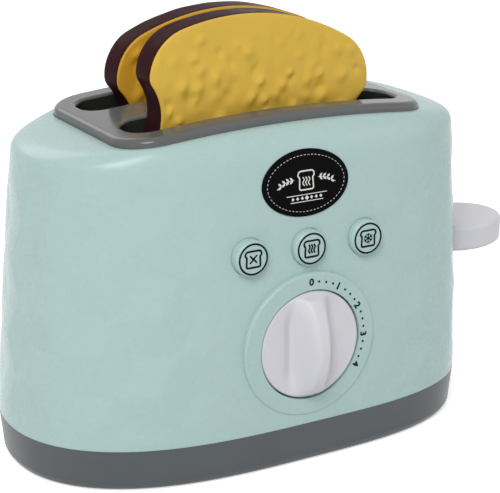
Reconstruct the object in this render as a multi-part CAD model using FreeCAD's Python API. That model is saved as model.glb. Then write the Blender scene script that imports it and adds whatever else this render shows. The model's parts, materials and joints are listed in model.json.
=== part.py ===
"""Toy toaster with two loose slices, built piece by piece.

Frame: +X points to the lever end, -Y to the front with the dial, +Z up.
The origin is the middle of the flat underside of the base tray. Units are millimetres.
"""
import FreeCAD, Part
import math
import os

# ---------------------------------------------------------------- driving dimensions
FAR_HALF_LENGTH = 95.0         # at the joint between shell and base tray, away from the lever
LEVER_HALF_LENGTH = 86.7       # the same towards the lever, where the end is flatter
BODY_HALF_WIDTH = 52.5
FAR_POWER_X = 2.88             # each half of the plan outline is a superellipse
FAR_POWER_Y = 2.17
LEVER_POWER_X = 3.43
LEVER_POWER_Y = 2.7
FAR_TAPER = 5.3                # how far the far end draws in over the first 70 mm
FAR_TAPER_CURVE = 0.6
LEVER_TAPER = 1.2              # the lever end stands almost upright, along the lever's way
LEVER_TAPER_CURVE = 0.7
SIDE_TAPER = -0.1              # the same for the long sides, which curve in near the top
SIDE_TAPER_CURVE = 2.7
TAPER_HEIGHT = 70.0
CROWN_Z = 125.2                # top of the shell at its middle
CROWN_RADIUS = 480.0           # the top is arched along X
SHOULDER_RADIUS = 9.0
WALL = 2.4
BASE_HEIGHT = 16.0
SHADOW_GAP = 0.4               # fine groove between shell and base tray
BASE_TAPER = 1.4               # how far the base draws in towards the table
BASE_EDGE_RADIUS = 3.0
BASE_FLOOR = 2.2
TRAY_WALL_LOW = 4.0            # how far the tray's inside lies in from the shell's inside, at its floor
TRAY_WALL_HIGH = 1.9           # and above its rim

BEZEL_HALF_LENGTH = 62.3
BEZEL_HALF_WIDTH = 37.7
BEZEL_CORNER = 15.0
BEZEL_RISE = 3.1               # how far its top stands above the shell's crown
BEZEL_EDGE_RADIUS = 2.5
BEZEL_PLATE = 2.6
BEZEL_SEAT = 1.2               # how deep it sits in the shell
BEZEL_SKIRT_INSET = 3.0
BEZEL_SKIRT_Z = 114.0
BEZEL_BOW = 0.5                # how far its long sides bow out
BEZEL_SKIRT_WALL = 2.0
SLOT_LIP_RADIUS = 1.3
SKY_Z = 140.0                  # above every part of the casing
SLOT_HALF_LENGTH = 55.0
SLOT_HALF_WIDTH = 9.3
SLOT_CORNER = 8.0
SLOT_Y = 18.45                 # the two slots lie at plus and minus this
COLLAR_WALL = 1.8

WELL_FLOOR_Z = 41.4
WELL_FLOOR = 1.6
WELL_CORNER = 2.5
SLIT_HALF_WIDTH = 3.8          # for the lifter arm in the well's end wall
SLIT_TOP_Z = 79.0

SLICE_WIDTH = 89.2
SLICE_HEIGHT = 81.4
SLICE_THICKNESS = 12.0
SLICE_CROWN_RADIUS = 86.0
SLICE_SHOULDER_RADIUS = 18.0
SLICE_CHEEK_RADIUS = 6.0
SLICE_NECK_RADIUS = 18.0
SLICE_NECK_HALF_WIDTH = 38.6
SLICE_FOOT_RADIUS = 7.0
CRUST_RIM = 1.3
CRUST_WALL = 3.2
FACE_SEAT = 1.6
FACE_PROUD = 0.5
FRONT_SLICE_X = -0.2
FRONT_SLICE_TOP_Z = 161.2
FRONT_SLICE_LEAN = 7.4         # degrees about Y, left shoulder up
REAR_SLICE_X = 2.0
REAR_SLICE_TOP_Z = 157.6
REAR_SLICE_LEAN = -0.4
SLICE_SET_BACK = 0.5           # how far behind the middle of its slot a slice stands

LEVER_TRAVEL = 28.0
LIFTER_TOP_Z = 75.4
LIFTER_THICKNESS = 3.0
LIFTER_SCREW_RISE = 3.6
LIFTER_TONGUE = 2.2            # thickness of the upright end
LIFTER_HALF_WIDTH = 3.2
LIFTER_FAR_X = -46.0
PADDLE_X = 100.8
PADDLE_HALF_LENGTH = 20.6
PADDLE_HALF_WIDTH = 17.2
PADDLE_TOP_Z = 65.6
PADDLE_THICKNESS = 10.4
PADDLE_WALL_GAP = 0.6
PADDLE_EDGE_RADIUS = 1.8
STEM_HALF = 3.0
LEVER_SLOT_HALF_WIDTH = 4.2
ROD_X = 72.0
ROD_Y = 18.0
ROD_RADIUS = 2.0
ROD_TOP_Z = 100.0
BRACKET_HALF_WIDTH = 24.0
BRACKET_PLATE = 2.0
BRACKET_SCREW_Z = 89.0
SLEEVE_RADIUS = 4.4
SLEEVE_HALF_HEIGHT = 13.0
CARRIAGE_X = 60.4              # inner face of the carriage plate
CARRIAGE_PLATE = 3.6
CARRIAGE_HALF_WIDTH = 24.0

LATCH_X = 76.5                 # pivot of the hook
LATCH_Z = 12.0
LATCH_PIN_RADIUS = 1.5
LATCH_EARS = ((4.4, 6.4), (11.8, 13.8))
LATCH_OPEN = 8.0               # degrees between open, as drawn, and hooked over the tab
HOOK_Y0 = 6.9
HOOK_WIDTH = 4.4
HOOK_HUB_RADIUS = 3.2
HOOK_REACH = 10.0
HOOK_LIP = 2.8
HOOK_GAP = 0.8                 # between the lip and the tab when hooked
TAB_X = 68.0                   # the tab on the carriage that the hook holds
TAB_Y0 = 7.0
TAB_Y1 = 11.2

DIAL_Z = 46.6
KNOB_RADIUS = 20.15
KNOB_GAP = 0.5
KNOB_FACE_Y = -52.8
KNOB_DISC = 4.0
GRIP_HEIGHT = 10.5
GRIP_HALF_LENGTH = 18.8
GRIP_ARCH_RADIUS = 26.0
GRIP_FOOT_HALF = 6.9
GRIP_RIDGE_HALF = 2.8
GRIP_EDGE_RADIUS = 0.9
KNOB_EDGE_RADIUS = 0.7
KNOB_HUB_RADIUS = 6.0
SHAFT_SEAT = 2.5               # how deep behind the knob's face the shaft ends
RING_RADIUS = 27.0
RING_FACE_Y = -53.0
RING_BEVEL = 0.8
SHAFT_RADIUS = 2.5
RUNNING_FIT = 0.06

TIMER_HALF_WIDTH = 24.0
TIMER_BOTTOM_Z = 27.0
TIMER_TOP_Z = 66.0
TIMER_FRONT_Y = -46.0
TIMER_BACK_Y = -32.0
TIMER_WALL = 1.6
TIMER_COVER = 1.5
TIMER_SCREW_X = 20.6
TIMER_SCREW_RISE = 16.1        # above and below the case's middle
TIMER_BOSS_RADIUS = 2.4
SMALL_SCREW_RADIUS = 0.9
FLAT_HEAD_RADIUS = 1.8
FLAT_HEAD = 0.9
PINION_PIN_RADIUS = 1.0
GEAR_MODULE = 0.7
MAIN_TEETH = 36
PINION_TEETH = 12
PRESSURE_ANGLE = math.radians(20.0)

BUTTON_Z = 82.7
BUTTON_PITCH = 23.6
BUTTON_RADIUS = 6.6
BUTTON_GAP = 0.35
BUTTON_FACE_Y = -52.9
BUTTON_TRAVEL = 2.0
BUTTON_FLANGE_Y = -45.2
BUTTON_FLANGE = 1.2            # thickness of the stop flange
BUTTON_FLANGE_RADIUS = 8.0
BUTTON_STEM_RADIUS = 2.0
BUTTON_STEM_REACH = 1.2        # how far the stem reaches into its plate
BUTTON_EDGE_RADIUS = 0.8
BUTTON_PLATE_Y = -36.0
BUTTON_PLATE_THICKNESS = 1.6

BADGE_Z = 105.5
BADGE_HALF_WIDTH = 17.6
BADGE_HALF_HEIGHT = 11.8
BADGE_PROUD = 0.7
BADGE_SEAT = 0.9

POST_X = 66.0
POST_Y = 30.0
POST_RADIUS = 4.4
SCREW_RADIUS = 1.5
SCREW_HEAD_RADIUS = 2.9
SCREW_HEAD = 2.0
SHELL_SCREW_TIP_Z = 24.0
SHELL_SCREW_SEAT_Z = 6.0       # their heads sit this high inside the base
WELL_POST_X = 46.0
WELL_POST_RADIUS = 4.0
HEAD_CLEARANCE = 0.5           # round a screw's head in its recess
SHANK_CLEARANCE = 0.2
PEG_RADIUS = 2.4               # the pegs that hold the plate behind the buttons
PEG_SCREW_RADIUS = 1.0
PEG_SCREW_LENGTH = 7.0
WELL_SCREW_SEAT_Z = 27.0

X_AXIS = FreeCAD.Vector(1, 0, 0)
Y_AXIS = FreeCAD.Vector(0, 1, 0)
Z_AXIS = FreeCAD.Vector(0, 0, 1)


# ---------------------------------------------------------------- small helpers
def vec(x, y, z):
    return FreeCAD.Vector(x, y, z)


def box(x0, x1, y0, y1, z0, z1):
    """A box between two corners."""
    return Part.makeBox(x1 - x0, y1 - y0, z1 - z0, vec(x0, y0, z0))


def rod(radius, start, axis, length):
    """A cylinder from a start point along an axis."""
    return Part.makeCylinder(radius, length, start, axis)


def fuse(first, *others):
    """One solid from several that touch or overlap."""
    return first.multiFuse(list(others))


def rounded_plate(half_length, half_width, corner, z0, z1, y_middle=0.0, x_middle=0.0):
    """An upright prism on a rounded rectangle."""
    body = box(x_middle - half_length, x_middle + half_length,
               y_middle - half_width, y_middle + half_width, z0, z1)
    upright = [e for e in body.Edges if abs(e.Vertexes[0].Z - e.Vertexes[-1].Z) > 0.5 * (z1 - z0)]
    return body.makeFillet(corner, upright)


def far_length_at(z):
    """How far the body reaches from its middle to the far end, at a height above the table."""
    u = (z - BASE_HEIGHT) / TAPER_HEIGHT
    return FAR_HALF_LENGTH - FAR_TAPER * u - FAR_TAPER_CURVE * u * u


def lever_length_at(z):
    """How far the body reaches from its middle to the lever end, at a height above the table."""
    u = (z - BASE_HEIGHT) / TAPER_HEIGHT
    return LEVER_HALF_LENGTH - LEVER_TAPER * u - LEVER_TAPER_CURVE * u * u


def half_width_at(z):
    """Half the body's width at a height above the table."""
    u = (z - BASE_HEIGHT) / TAPER_HEIGHT
    return BODY_HALF_WIDTH - SIDE_TAPER * u - SIDE_TAPER_CURVE * u * u


def plan_wire(level, inset, z, count=56):
    """The body's closed plan outline at a level, drawn in by an inset and laid at a height."""
    half_width = half_width_at(level) - inset
    points = []
    for i in range(count):
        t = 2.0 * math.pi * i / count
        c, s = math.cos(t), math.sin(t)
        if c > 0:
            reach, power_x, power_y = lever_length_at(level) - inset, LEVER_POWER_X, LEVER_POWER_Y
        else:
            reach, power_x, power_y = far_length_at(level) - inset, FAR_POWER_X, FAR_POWER_Y
        x = reach * math.copysign(abs(c) ** (2.0 / power_x), c)
        y = half_width * math.copysign(abs(s) ** (2.0 / power_y), s)
        points.append(vec(x, y, z))
    curve = Part.BSplineCurve()
    curve.interpolate(Points=points, PeriodicFlag=True)
    return Part.Wire([curve.toShape()])


def dome(crown):
    """Everything under the arched top; its seam lies far below the part."""
    centre = vec(0, 0, crown - CROWN_RADIUS)
    block = rod(CROWN_RADIUS, centre - Y_AXIS * 80.0, Y_AXIS, 160.0)
    block.rotate(centre, Y_AXIS, 180.0)
    return block


def body_block(inset, z_low):
    """The whole body as a solid, drawn in by an inset: the outside, or the hollow."""
    heights = [z_low, 45.0, 75.0, 105.0, SKY_Z]
    wires = [plan_wire(z, inset, z) for z in heights]
    tower = Part.makeLoft(wires, True, False)
    block = tower.common(dome(CROWN_Z - inset))
    rim = [e for e in block.Edges if e.BoundBox.ZMin > 90.0 and e.BoundBox.XLength > 60.0]
    return block.makeFillet(SHOULDER_RADIUS - inset, rim)


def helix_spring(radius, wire_radius, start, axis, length, turns):
    """A coil spring between two ends along an axis."""
    pitch = (length - 2.0 * wire_radius) / turns
    path = Part.makeHelix(pitch, length - 2.0 * wire_radius, radius)
    ring = Part.Wire([Part.makeCircle(wire_radius, vec(radius, 0, 0), Y_AXIS)])
    coil = Part.Wire(path).makePipeShell([ring], True, True)
    coil.translate(vec(0, 0, wire_radius))
    coil.Placement = FreeCAD.Placement(start, FreeCAD.Rotation(Z_AXIS, axis)) * coil.Placement
    return coil


def screw(tip, axis, length):
    """A round-head screw: the shank runs back from its tip, the head ends it."""
    shank = rod(SCREW_RADIUS, tip, axis, length)
    head_start = tip + axis * length
    head = rod(SCREW_HEAD_RADIUS, head_start, axis, SCREW_HEAD)
    rim = [e for e in head.Edges if e.BoundBox.DiagonalLength > 0 and e.Closed]
    far = max(rim, key=lambda e: (e.CenterOfMass - tip).Length)
    head = head.makeFillet(0.8, [far])
    return fuse(shank, head)


def save(name, shape):
    """Write one node's STEP file."""
    if shape.ShapeType == "Compound" and len(shape.Solids) == 1:
        shape = shape.Solids[0]
    if not shape.isValid():
        print("not valid:", name)
    shape.exportStep("parts/" + name + ".step")
    bounds = shape.BoundBox
    print("%-22s solids %d  x %7.2f %7.2f  y %7.2f %7.2f  z %7.2f %7.2f  vol %9.1f" % (
        name, len(shape.Solids), bounds.XMin, bounds.XMax, bounds.YMin, bounds.YMax,
        bounds.ZMin, bounds.ZMax, shape.Volume))


# ---------------------------------------------------------------- casing
def dial_ring(hollow):
    """The round raised seat of the dial, moulded on the shell's front."""
    depth = -40.0 - RING_FACE_Y
    ring = rod(RING_RADIUS, vec(0, RING_FACE_Y, DIAL_Z), Y_AXIS, depth)
    front = min((e for e in ring.Edges if e.Closed), key=lambda e: e.CenterOfMass.y)
    ring = ring.makeChamfer(RING_BEVEL, [front])
    return ring.cut(hollow)


def badge_placement():
    """The badge leans back with the shell: its middle and its outward normal."""
    slope = (half_width_at(BADGE_Z - 1.0) - half_width_at(BADGE_Z + 1.0)) / 2.0
    return vec(0, -half_width_at(BADGE_Z), BADGE_Z), vec(0, -1, slope).normalize()


def badge_prism(inward, outward):
    """An oval prism along the badge's normal, from a depth inside to a height outside."""
    middle, normal = badge_placement()
    oval = Part.Ellipse(vec(0, 0, 0), BADGE_HALF_WIDTH, BADGE_HALF_HEIGHT)
    face = Part.Face(Part.Wire([oval.toShape()]))
    turn = FreeCAD.Rotation(X_AXIS, normal.cross(X_AXIS), normal, "ZXY")
    face.Placement = FreeCAD.Placement(middle - normal * inward, turn)
    return face.extrude(normal * (inward + outward))


def lever_slot():
    """The upright slot in the shell's end that the lever's stem runs in."""
    low = PADDLE_TOP_Z - PADDLE_THICKNESS / 2.0 - LEVER_TRAVEL - STEM_HALF - 1.4
    high = PADDLE_TOP_Z - PADDLE_THICKNESS / 2.0 + STEM_HALF + 1.4
    return box(80.0, 100.0, -LEVER_SLOT_HALF_WIDTH, LEVER_SLOT_HALF_WIDTH, low, high)


def post_places():
    """The four places where shell and base tray are screwed together."""
    return [(sx * POST_X, sy * POST_Y) for sx in (-1, 1) for sy in (-1, 1)]


def make_body_shell():
    outer = body_block(0.0, BASE_HEIGHT + SHADOW_GAP)
    hollow = body_block(WALL, BASE_HEIGHT - 1.0)
    shell = fuse(outer.cut(hollow), dial_ring(hollow))
    shell = shell.cut(rod(KNOB_RADIUS + KNOB_GAP, vec(0, -60, DIAL_Z), Y_AXIS, 20.0))
    for side in (-1, 0, 1):
        hole = rod(BUTTON_RADIUS + BUTTON_GAP, vec(side * BUTTON_PITCH, -60, BUTTON_Z), Y_AXIS, 20.0)
        shell = shell.cut(hole)
    shell = shell.cut(badge_prism(BADGE_SEAT, 5.0))
    opening = rounded_plate(BEZEL_HALF_LENGTH - BEZEL_SKIRT_INSET, BEZEL_HALF_WIDTH - BEZEL_SKIRT_INSET,
                            BEZEL_CORNER - BEZEL_SKIRT_INSET, BEZEL_SKIRT_Z - 10.0, SKY_Z)
    shell = shell.cut(opening).cut(bezel_lid()).cut(lever_slot())
    posts = []
    for x, y in post_places():
        post = rod(POST_RADIUS, vec(x, y, 14.0), Z_AXIS, 50.0)
        web = box(x - 1.2, x + 1.2, min(y, y * 1.6), max(y, y * 1.6), 24.0, 62.0)
        pilot = rod(SCREW_RADIUS, vec(x, y, 10.0), Z_AXIS, 24.0)
        posts.append(fuse(post, web).common(outer_reach()).cut(pilot))
    for side in (-0.5, 0.5):
        x = side * BUTTON_PITCH
        peg = rod(PEG_RADIUS, vec(x, -50.0, BUTTON_Z), Y_AXIS, 50.0 + BUTTON_PLATE_Y)
        pilot = rod(PEG_SCREW_RADIUS, vec(x, -46.0, BUTTON_Z), Y_AXIS, 46.0 + BUTTON_PLATE_Y + 1.0)
        posts.append(peg.common(outer_reach()).cut(pilot))
    return fuse(shell, *posts)


def outer_reach():
    """A block a little inside the outer skin, so posts never break through it."""
    return body_block(WALL * 0.5, BASE_HEIGHT - 6.0)


def base_block():
    """The base's outside: a rounded foot that runs into the tapered wall."""
    radius = BASE_EDGE_RADIUS
    foot = []
    for degrees in (0.0, 22.5, 45.0, 67.5):
        turn = math.radians(degrees)
        inset = BASE_TAPER + radius * (1.0 - math.sin(turn))
        foot.append(plan_wire(BASE_HEIGHT, inset, radius * (1.0 - math.cos(turn))))
    foot.append(plan_wire(BASE_HEIGHT, BASE_TAPER * (1.0 - radius / BASE_HEIGHT), radius))
    wall = [foot[-1], plan_wire(BASE_HEIGHT, 0.0, BASE_HEIGHT)]
    return fuse(Part.makeLoft(foot, True, False), Part.makeLoft(wall, True, True))


def make_base_tray():
    block = base_block()
    inner_low = plan_wire(BASE_HEIGHT, WALL + TRAY_WALL_LOW, BASE_FLOOR)
    inner_high = plan_wire(BASE_HEIGHT, WALL + TRAY_WALL_HIGH, BASE_HEIGHT + 6.0)
    lip_low = plan_wire(BASE_HEIGHT, WALL + 0.3, BASE_HEIGHT - 3.0)
    lip_high = plan_wire(BASE_HEIGHT, WALL + 0.7, BASE_HEIGHT + 4.0)
    tray = fuse(block, Part.makeLoft([lip_low, lip_high], True, True))
    tray = tray.cut(Part.makeLoft([inner_low, inner_high], True, True))
    extras = []
    for x, y in post_places():
        extras.append(rod(POST_RADIUS + 0.6, vec(x, y, 0.5), Z_AXIS, 13.5))
    for x, y in well_post_places():
        extras.append(rod(WELL_POST_RADIUS, vec(x, y, 1.0), Z_AXIS, WELL_FLOOR_Z - 1.0))
    for side in (-1, 1):
        extras.append(rod(SLEEVE_RADIUS, vec(ROD_X, side * ROD_Y, 1.0), Z_AXIS, 9.0))
    for y0, y1 in LATCH_EARS:
        extras.append(box(LATCH_X - 3.0, LATCH_X + 3.0, y0, y1, 1.0, LATCH_Z + 3.0))
    tray = fuse(tray, *extras)
    for places, seat_z in ((post_places(), SHELL_SCREW_SEAT_Z), (well_post_places(), WELL_SCREW_SEAT_Z)):
        for x, y in places:
            tray = tray.cut(rod(SCREW_HEAD_RADIUS + HEAD_CLEARANCE, vec(x, y, -1.0), Z_AXIS, 1.0 + seat_z))
            tray = tray.cut(rod(SCREW_RADIUS + SHANK_CLEARANCE, vec(x, y, -1.0), Z_AXIS, 60.0))
    for side in (-1, 1):
        tray = tray.cut(rod(ROD_RADIUS, vec(ROD_X, side * ROD_Y, BASE_FLOOR), Z_AXIS, 20.0))
    return tray.cut(rod(LATCH_PIN_RADIUS, vec(LATCH_X, LATCH_EARS[0][0] - 1.0, LATCH_Z), Y_AXIS, 30.0))


def bezel_block(z_low, z_high):
    """An upright prism on the bezel's outline, whose long sides bow out a little."""
    a, b, bow = BEZEL_HALF_LENGTH, BEZEL_HALF_WIDTH, BEZEL_BOW
    edges = []
    for side in (-1, 1):
        edges.append(Part.Arc(vec(-a, side * (b - bow), z_low), vec(0, side * b, z_low),
                              vec(a, side * (b - bow), z_low)).toShape())
        edges.append(Part.makeLine(vec(side * a, bow - b, z_low), vec(side * a, b - bow, z_low)))
    outline = Part.Face(Part.Wire(Part.__sortEdges__(edges)))
    block = outline.extrude(vec(0, 0, z_high - z_low))
    upright = [e for e in block.Edges if e.BoundBox.ZLength > 0.9 * (z_high - z_low)]
    return block.makeFillet(BEZEL_CORNER, upright)


def bezel_lid():
    """The bezel's outside: an arched plate that sits in a shallow seat in the shell's top."""
    lid = bezel_block(BEZEL_SKIRT_Z, SKY_Z).common(dome(CROWN_Z + BEZEL_RISE))
    lid = lid.cut(dome(CROWN_Z - BEZEL_SEAT))
    top = max(lid.Faces, key=lambda f: f.CenterOfMass.z)
    return lid.makeFillet(BEZEL_EDGE_RADIUS, top.Edges)


def make_top_bezel():
    inset = BEZEL_SKIRT_INSET
    inner = inset + BEZEL_SKIRT_WALL
    ceiling = CROWN_Z + BEZEL_RISE - BEZEL_PLATE
    within = dome(ceiling + BEZEL_PLATE / 2.0)
    skirt = rounded_plate(BEZEL_HALF_LENGTH - inset, BEZEL_HALF_WIDTH - inset, BEZEL_CORNER - inset,
                          BEZEL_SKIRT_Z, SKY_Z).common(within)
    hollow = rounded_plate(BEZEL_HALF_LENGTH - inner, BEZEL_HALF_WIDTH - inner, BEZEL_CORNER - inner,
                           BEZEL_SKIRT_Z - 1.0, SKY_Z)
    hollow = hollow.common(dome(ceiling))
    collars = [rounded_plate(SLOT_HALF_LENGTH + COLLAR_WALL, SLOT_HALF_WIDTH + COLLAR_WALL,
                             SLOT_CORNER + COLLAR_WALL, BEZEL_SKIRT_Z, SKY_Z, side * SLOT_Y).common(within)
               for side in (-1, 1)]
    bezel = fuse(bezel_lid(), skirt.cut(hollow), *collars)
    bezel = bezel.cut(hollow.cut(fuse(*collars)))
    for side in (-1, 1):
        slot = rounded_plate(SLOT_HALF_LENGTH, SLOT_HALF_WIDTH, SLOT_CORNER,
                             BEZEL_SKIRT_Z - 1.0, SKY_Z, side * SLOT_Y)
        bezel = bezel.cut(slot)
    top = max(bezel.Faces, key=lambda f: f.CenterOfMass.z)
    lips = [e for e in top.Edges if max(-e.BoundBox.XMin, e.BoundBox.XMax) < SLOT_HALF_LENGTH + 0.5]
    return bezel.makeFillet(SLOT_LIP_RADIUS, lips)


def make_badge():
    badge = badge_prism(BADGE_SEAT, BADGE_PROUD)
    middle, normal = badge_placement()
    outer = max((e for e in badge.Edges if e.Closed), key=lambda e: (e.CenterOfMass - middle).dot(normal))
    return badge.makeFillet(0.4, [outer])


# ---------------------------------------------------------------- wells and chassis
def well_post_places():
    """Where the wells stand on the base tray."""
    return [(sx * WELL_POST_X, sy * SLOT_Y) for sx in (-1, 1) for sy in (-1, 1)]


def make_well(y_middle):
    """A bread well: a deep trough under a slot, with a slit for the lifter in its end."""
    wall = COLLAR_WALL
    outer = rounded_plate(SLOT_HALF_LENGTH + wall, SLOT_HALF_WIDTH + wall, WELL_CORNER + wall,
                          WELL_FLOOR_Z, BEZEL_SKIRT_Z, y_middle)
    inner = rounded_plate(SLOT_HALF_LENGTH, SLOT_HALF_WIDTH, WELL_CORNER,
                          WELL_FLOOR_Z + WELL_FLOOR, BEZEL_SKIRT_Z + 1.0, y_middle)
    slit = box(40.0, 60.0, y_middle - SLIT_HALF_WIDTH, y_middle + SLIT_HALF_WIDTH,
               WELL_FLOOR_Z + WELL_FLOOR - 0.6, SLIT_TOP_Z)
    bracket_hole = rod(SCREW_RADIUS, vec(50.0, y_middle, BRACKET_SCREW_Z), X_AXIS, 10.0)
    well = outer.cut(inner).cut(slit).cut(bracket_hole)
    for sx in (-1, 1):
        well = well.cut(rod(SCREW_RADIUS, vec(sx * WELL_POST_X, y_middle, WELL_FLOOR_Z - 1), Z_AXIS, 4.0))
    return well


def make_rod_bracket():
    """The bridge across the wells' ends that holds the guide rods' tops."""
    wall_x = SLOT_HALF_LENGTH + COLLAR_WALL
    far_x = ROD_X + 4.5
    plate = rounded_plate((far_x - wall_x) / 2.0, BRACKET_HALF_WIDTH, 5.0, ROD_TOP_Z - 4.0, ROD_TOP_Z - 1.0,
                          0.0, (wall_x + far_x) / 2.0)
    flange = box(wall_x, wall_x + BRACKET_PLATE, -BRACKET_HALF_WIDTH, BRACKET_HALF_WIDTH,
                 ROD_TOP_Z - 16.0, ROD_TOP_Z - 2.0)
    bracket = fuse(plate, flange)
    for side in (-1, 1):
        bracket = bracket.cut(rod(ROD_RADIUS, vec(ROD_X, side * ROD_Y, 80.0), Z_AXIS, 40.0))
        bracket = bracket.cut(rod(SCREW_RADIUS, vec(50.0, side * SLOT_Y, BRACKET_SCREW_Z), X_AXIS, 20.0))
    return bracket


def make_guide_rod(side):
    return rod(ROD_RADIUS, vec(ROD_X, side * ROD_Y, BASE_FLOOR), Z_AXIS, ROD_TOP_Z - BASE_FLOOR)


# ---------------------------------------------------------------- lever and carriage
def make_carriage():
    """The sliding block: plate, two sleeves on the rods and the stem out to the paddle."""
    stem_z = PADDLE_TOP_Z - PADDLE_THICKNESS / 2.0
    plate = box(CARRIAGE_X, CARRIAGE_X + CARRIAGE_PLATE, -CARRIAGE_HALF_WIDTH, CARRIAGE_HALF_WIDTH,
                stem_z - 6.0, LIFTER_TOP_Z + 8.0)
    parts = [plate, box(CARRIAGE_X + 1.0, PADDLE_X + 8.0, -STEM_HALF, STEM_HALF,
                        stem_z - STEM_HALF, stem_z + STEM_HALF)]
    sleeve_z = stem_z + 6.0
    for side in (-1, 1):
        parts.append(rod(SLEEVE_RADIUS, vec(ROD_X, side * ROD_Y, sleeve_z - SLEEVE_HALF_HEIGHT), Z_AXIS,
                         2.0 * SLEEVE_HALF_HEIGHT))
        parts.append(box(CARRIAGE_X + 1.0, ROD_X, side * ROD_Y - 1.5, side * ROD_Y + 1.5,
                         stem_z - 5.0, LIFTER_TOP_Z))
    parts.append(box(CARRIAGE_X + 1.0, TAB_X, TAB_Y0, TAB_Y1, stem_z - 5.0, stem_z + 1.0))
    carriage = fuse(*parts)
    for side in (-1, 1):
        carriage = carriage.cut(rod(ROD_RADIUS + RUNNING_FIT, vec(ROD_X, side * ROD_Y, 30.0), Z_AXIS, 80.0))
        screw_start = vec(CARRIAGE_X - 1.0, side * SLOT_Y, LIFTER_TOP_Z + LIFTER_SCREW_RISE)
        carriage = carriage.cut(rod(SCREW_RADIUS, screw_start, X_AXIS, 10.0))
    return carriage


def make_lifter(side):
    """The arm under one slice, with a tongue screwed to the carriage plate."""
    y = side * SLOT_Y
    arm = box(LIFTER_FAR_X, CARRIAGE_X, y - LIFTER_HALF_WIDTH, y + LIFTER_HALF_WIDTH,
              LIFTER_TOP_Z - LIFTER_THICKNESS, LIFTER_TOP_Z)
    tongue = box(CARRIAGE_X - LIFTER_TONGUE, CARRIAGE_X, y - LIFTER_HALF_WIDTH, y + LIFTER_HALF_WIDTH,
                 LIFTER_TOP_Z - LIFTER_THICKNESS, LIFTER_TOP_Z + 7.0)
    lifter = fuse(arm, tongue)
    return lifter.cut(rod(SCREW_RADIUS, vec(50.0, y, LIFTER_TOP_Z + LIFTER_SCREW_RISE), X_AXIS, 20.0))


def make_paddle():
    """The thumb paddle: a thick oval that follows the shell's end with an even gap."""
    oval = Part.Ellipse(vec(0, 0, 0), PADDLE_HALF_LENGTH, PADDLE_HALF_WIDTH).toShape()
    face = Part.Face(Part.Wire([oval]))
    face.translate(vec(PADDLE_X, 0, PADDLE_TOP_Z - PADDLE_THICKNESS))
    block = face.extrude(vec(0, 0, PADDLE_THICKNESS))
    lowest = PADDLE_TOP_Z - PADDLE_THICKNESS - LEVER_TRAVEL
    wall = plan_wire(lowest, -PADDLE_WALL_GAP, 40.0)
    block = block.cut(Part.Face(wall).extrude(vec(0, 0, 60.0)))
    rims = [e for e in block.Edges if e.BoundBox.ZLength < 0.01]
    block = block.makeFillet(PADDLE_EDGE_RADIUS, rims)
    stem_z = PADDLE_TOP_Z - PADDLE_THICKNESS / 2.0
    return block.cut(box(80.0, PADDLE_X + 8.0, -STEM_HALF, STEM_HALF, stem_z - STEM_HALF, stem_z + STEM_HALF))


# ---------------------------------------------------------------- latch
def make_latch_hook():
    """The hook that holds the carriage down, drawn in its open place."""
    tab_top = PADDLE_TOP_Z - PADDLE_THICKNESS / 2.0 + 1.0 - LEVER_TRAVEL
    hook_y1 = HOOK_Y0 + HOOK_WIDTH
    hook_top = tab_top + HOOK_GAP + HOOK_LIP
    hub = rod(HOOK_HUB_RADIUS, vec(LATCH_X, HOOK_Y0, LATCH_Z), Y_AXIS, HOOK_WIDTH)
    arm = box(LATCH_X - 3.0, LATCH_X, HOOK_Y0, hook_y1, LATCH_Z, hook_top)
    lip = box(LATCH_X - HOOK_REACH, LATCH_X - 1.0, HOOK_Y0, hook_y1, tab_top + HOOK_GAP, hook_top)
    hook = fuse(hub, arm, lip)
    hook.rotate(vec(LATCH_X, 0, LATCH_Z), Y_AXIS, LATCH_OPEN)
    return hook.cut(rod(LATCH_PIN_RADIUS + RUNNING_FIT, vec(LATCH_X, 0, LATCH_Z), Y_AXIS, 20.0))


def make_latch_pin():
    start = LATCH_EARS[0][0] - 0.6
    return rod(LATCH_PIN_RADIUS, vec(LATCH_X, start, LATCH_Z), Y_AXIS, LATCH_EARS[1][1] + 0.6 - start)


# ---------------------------------------------------------------- dial and timer
def make_timer_knob():
    """The white dial knob: a disc with an arched grip across it."""
    disc = rod(KNOB_RADIUS, vec(0, KNOB_FACE_Y, DIAL_Z), Y_AXIS, KNOB_DISC)
    front = min((e for e in disc.Edges if e.Closed), key=lambda e: e.CenterOfMass.y)
    disc = disc.makeFillet(KNOB_EDGE_RADIUS, [front])
    hub_end = TIMER_FRONT_Y - TIMER_COVER - 0.9
    hub = rod(KNOB_HUB_RADIUS, vec(0, KNOB_FACE_Y + 0.5, DIAL_Z), Y_AXIS, hub_end - KNOB_FACE_Y - 0.5)
    foot = KNOB_FACE_Y + 0.6
    ridge = KNOB_FACE_Y - GRIP_HEIGHT
    flanks = Part.makePolygon([vec(-GRIP_FOOT_HALF, foot, 0), vec(GRIP_FOOT_HALF, foot, 0),
                               vec(GRIP_RIDGE_HALF, ridge, 0), vec(-GRIP_RIDGE_HALF, ridge, 0),
                               vec(-GRIP_FOOT_HALF, foot, 0)])
    wedge = Part.Face(flanks).extrude(vec(0, 0, 2.0 * GRIP_HALF_LENGTH))
    wedge.translate(vec(0, 0, DIAL_Z - GRIP_HALF_LENGTH))
    arch = rod(GRIP_ARCH_RADIUS, vec(-20, ridge + GRIP_ARCH_RADIUS, DIAL_Z), X_AXIS, 40.0)
    grip = wedge.common(arch)
    edges = [e for e in grip.Edges if e.BoundBox.YMin < KNOB_FACE_Y - 1.0]
    grip = grip.makeFillet(GRIP_EDGE_RADIUS, edges)
    knob = fuse(disc, hub, grip)
    socket = rod(SHAFT_RADIUS, vec(0, KNOB_FACE_Y + SHAFT_SEAT, DIAL_Z), Y_AXIS, 20.0)
    return knob.cut(socket)


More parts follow.
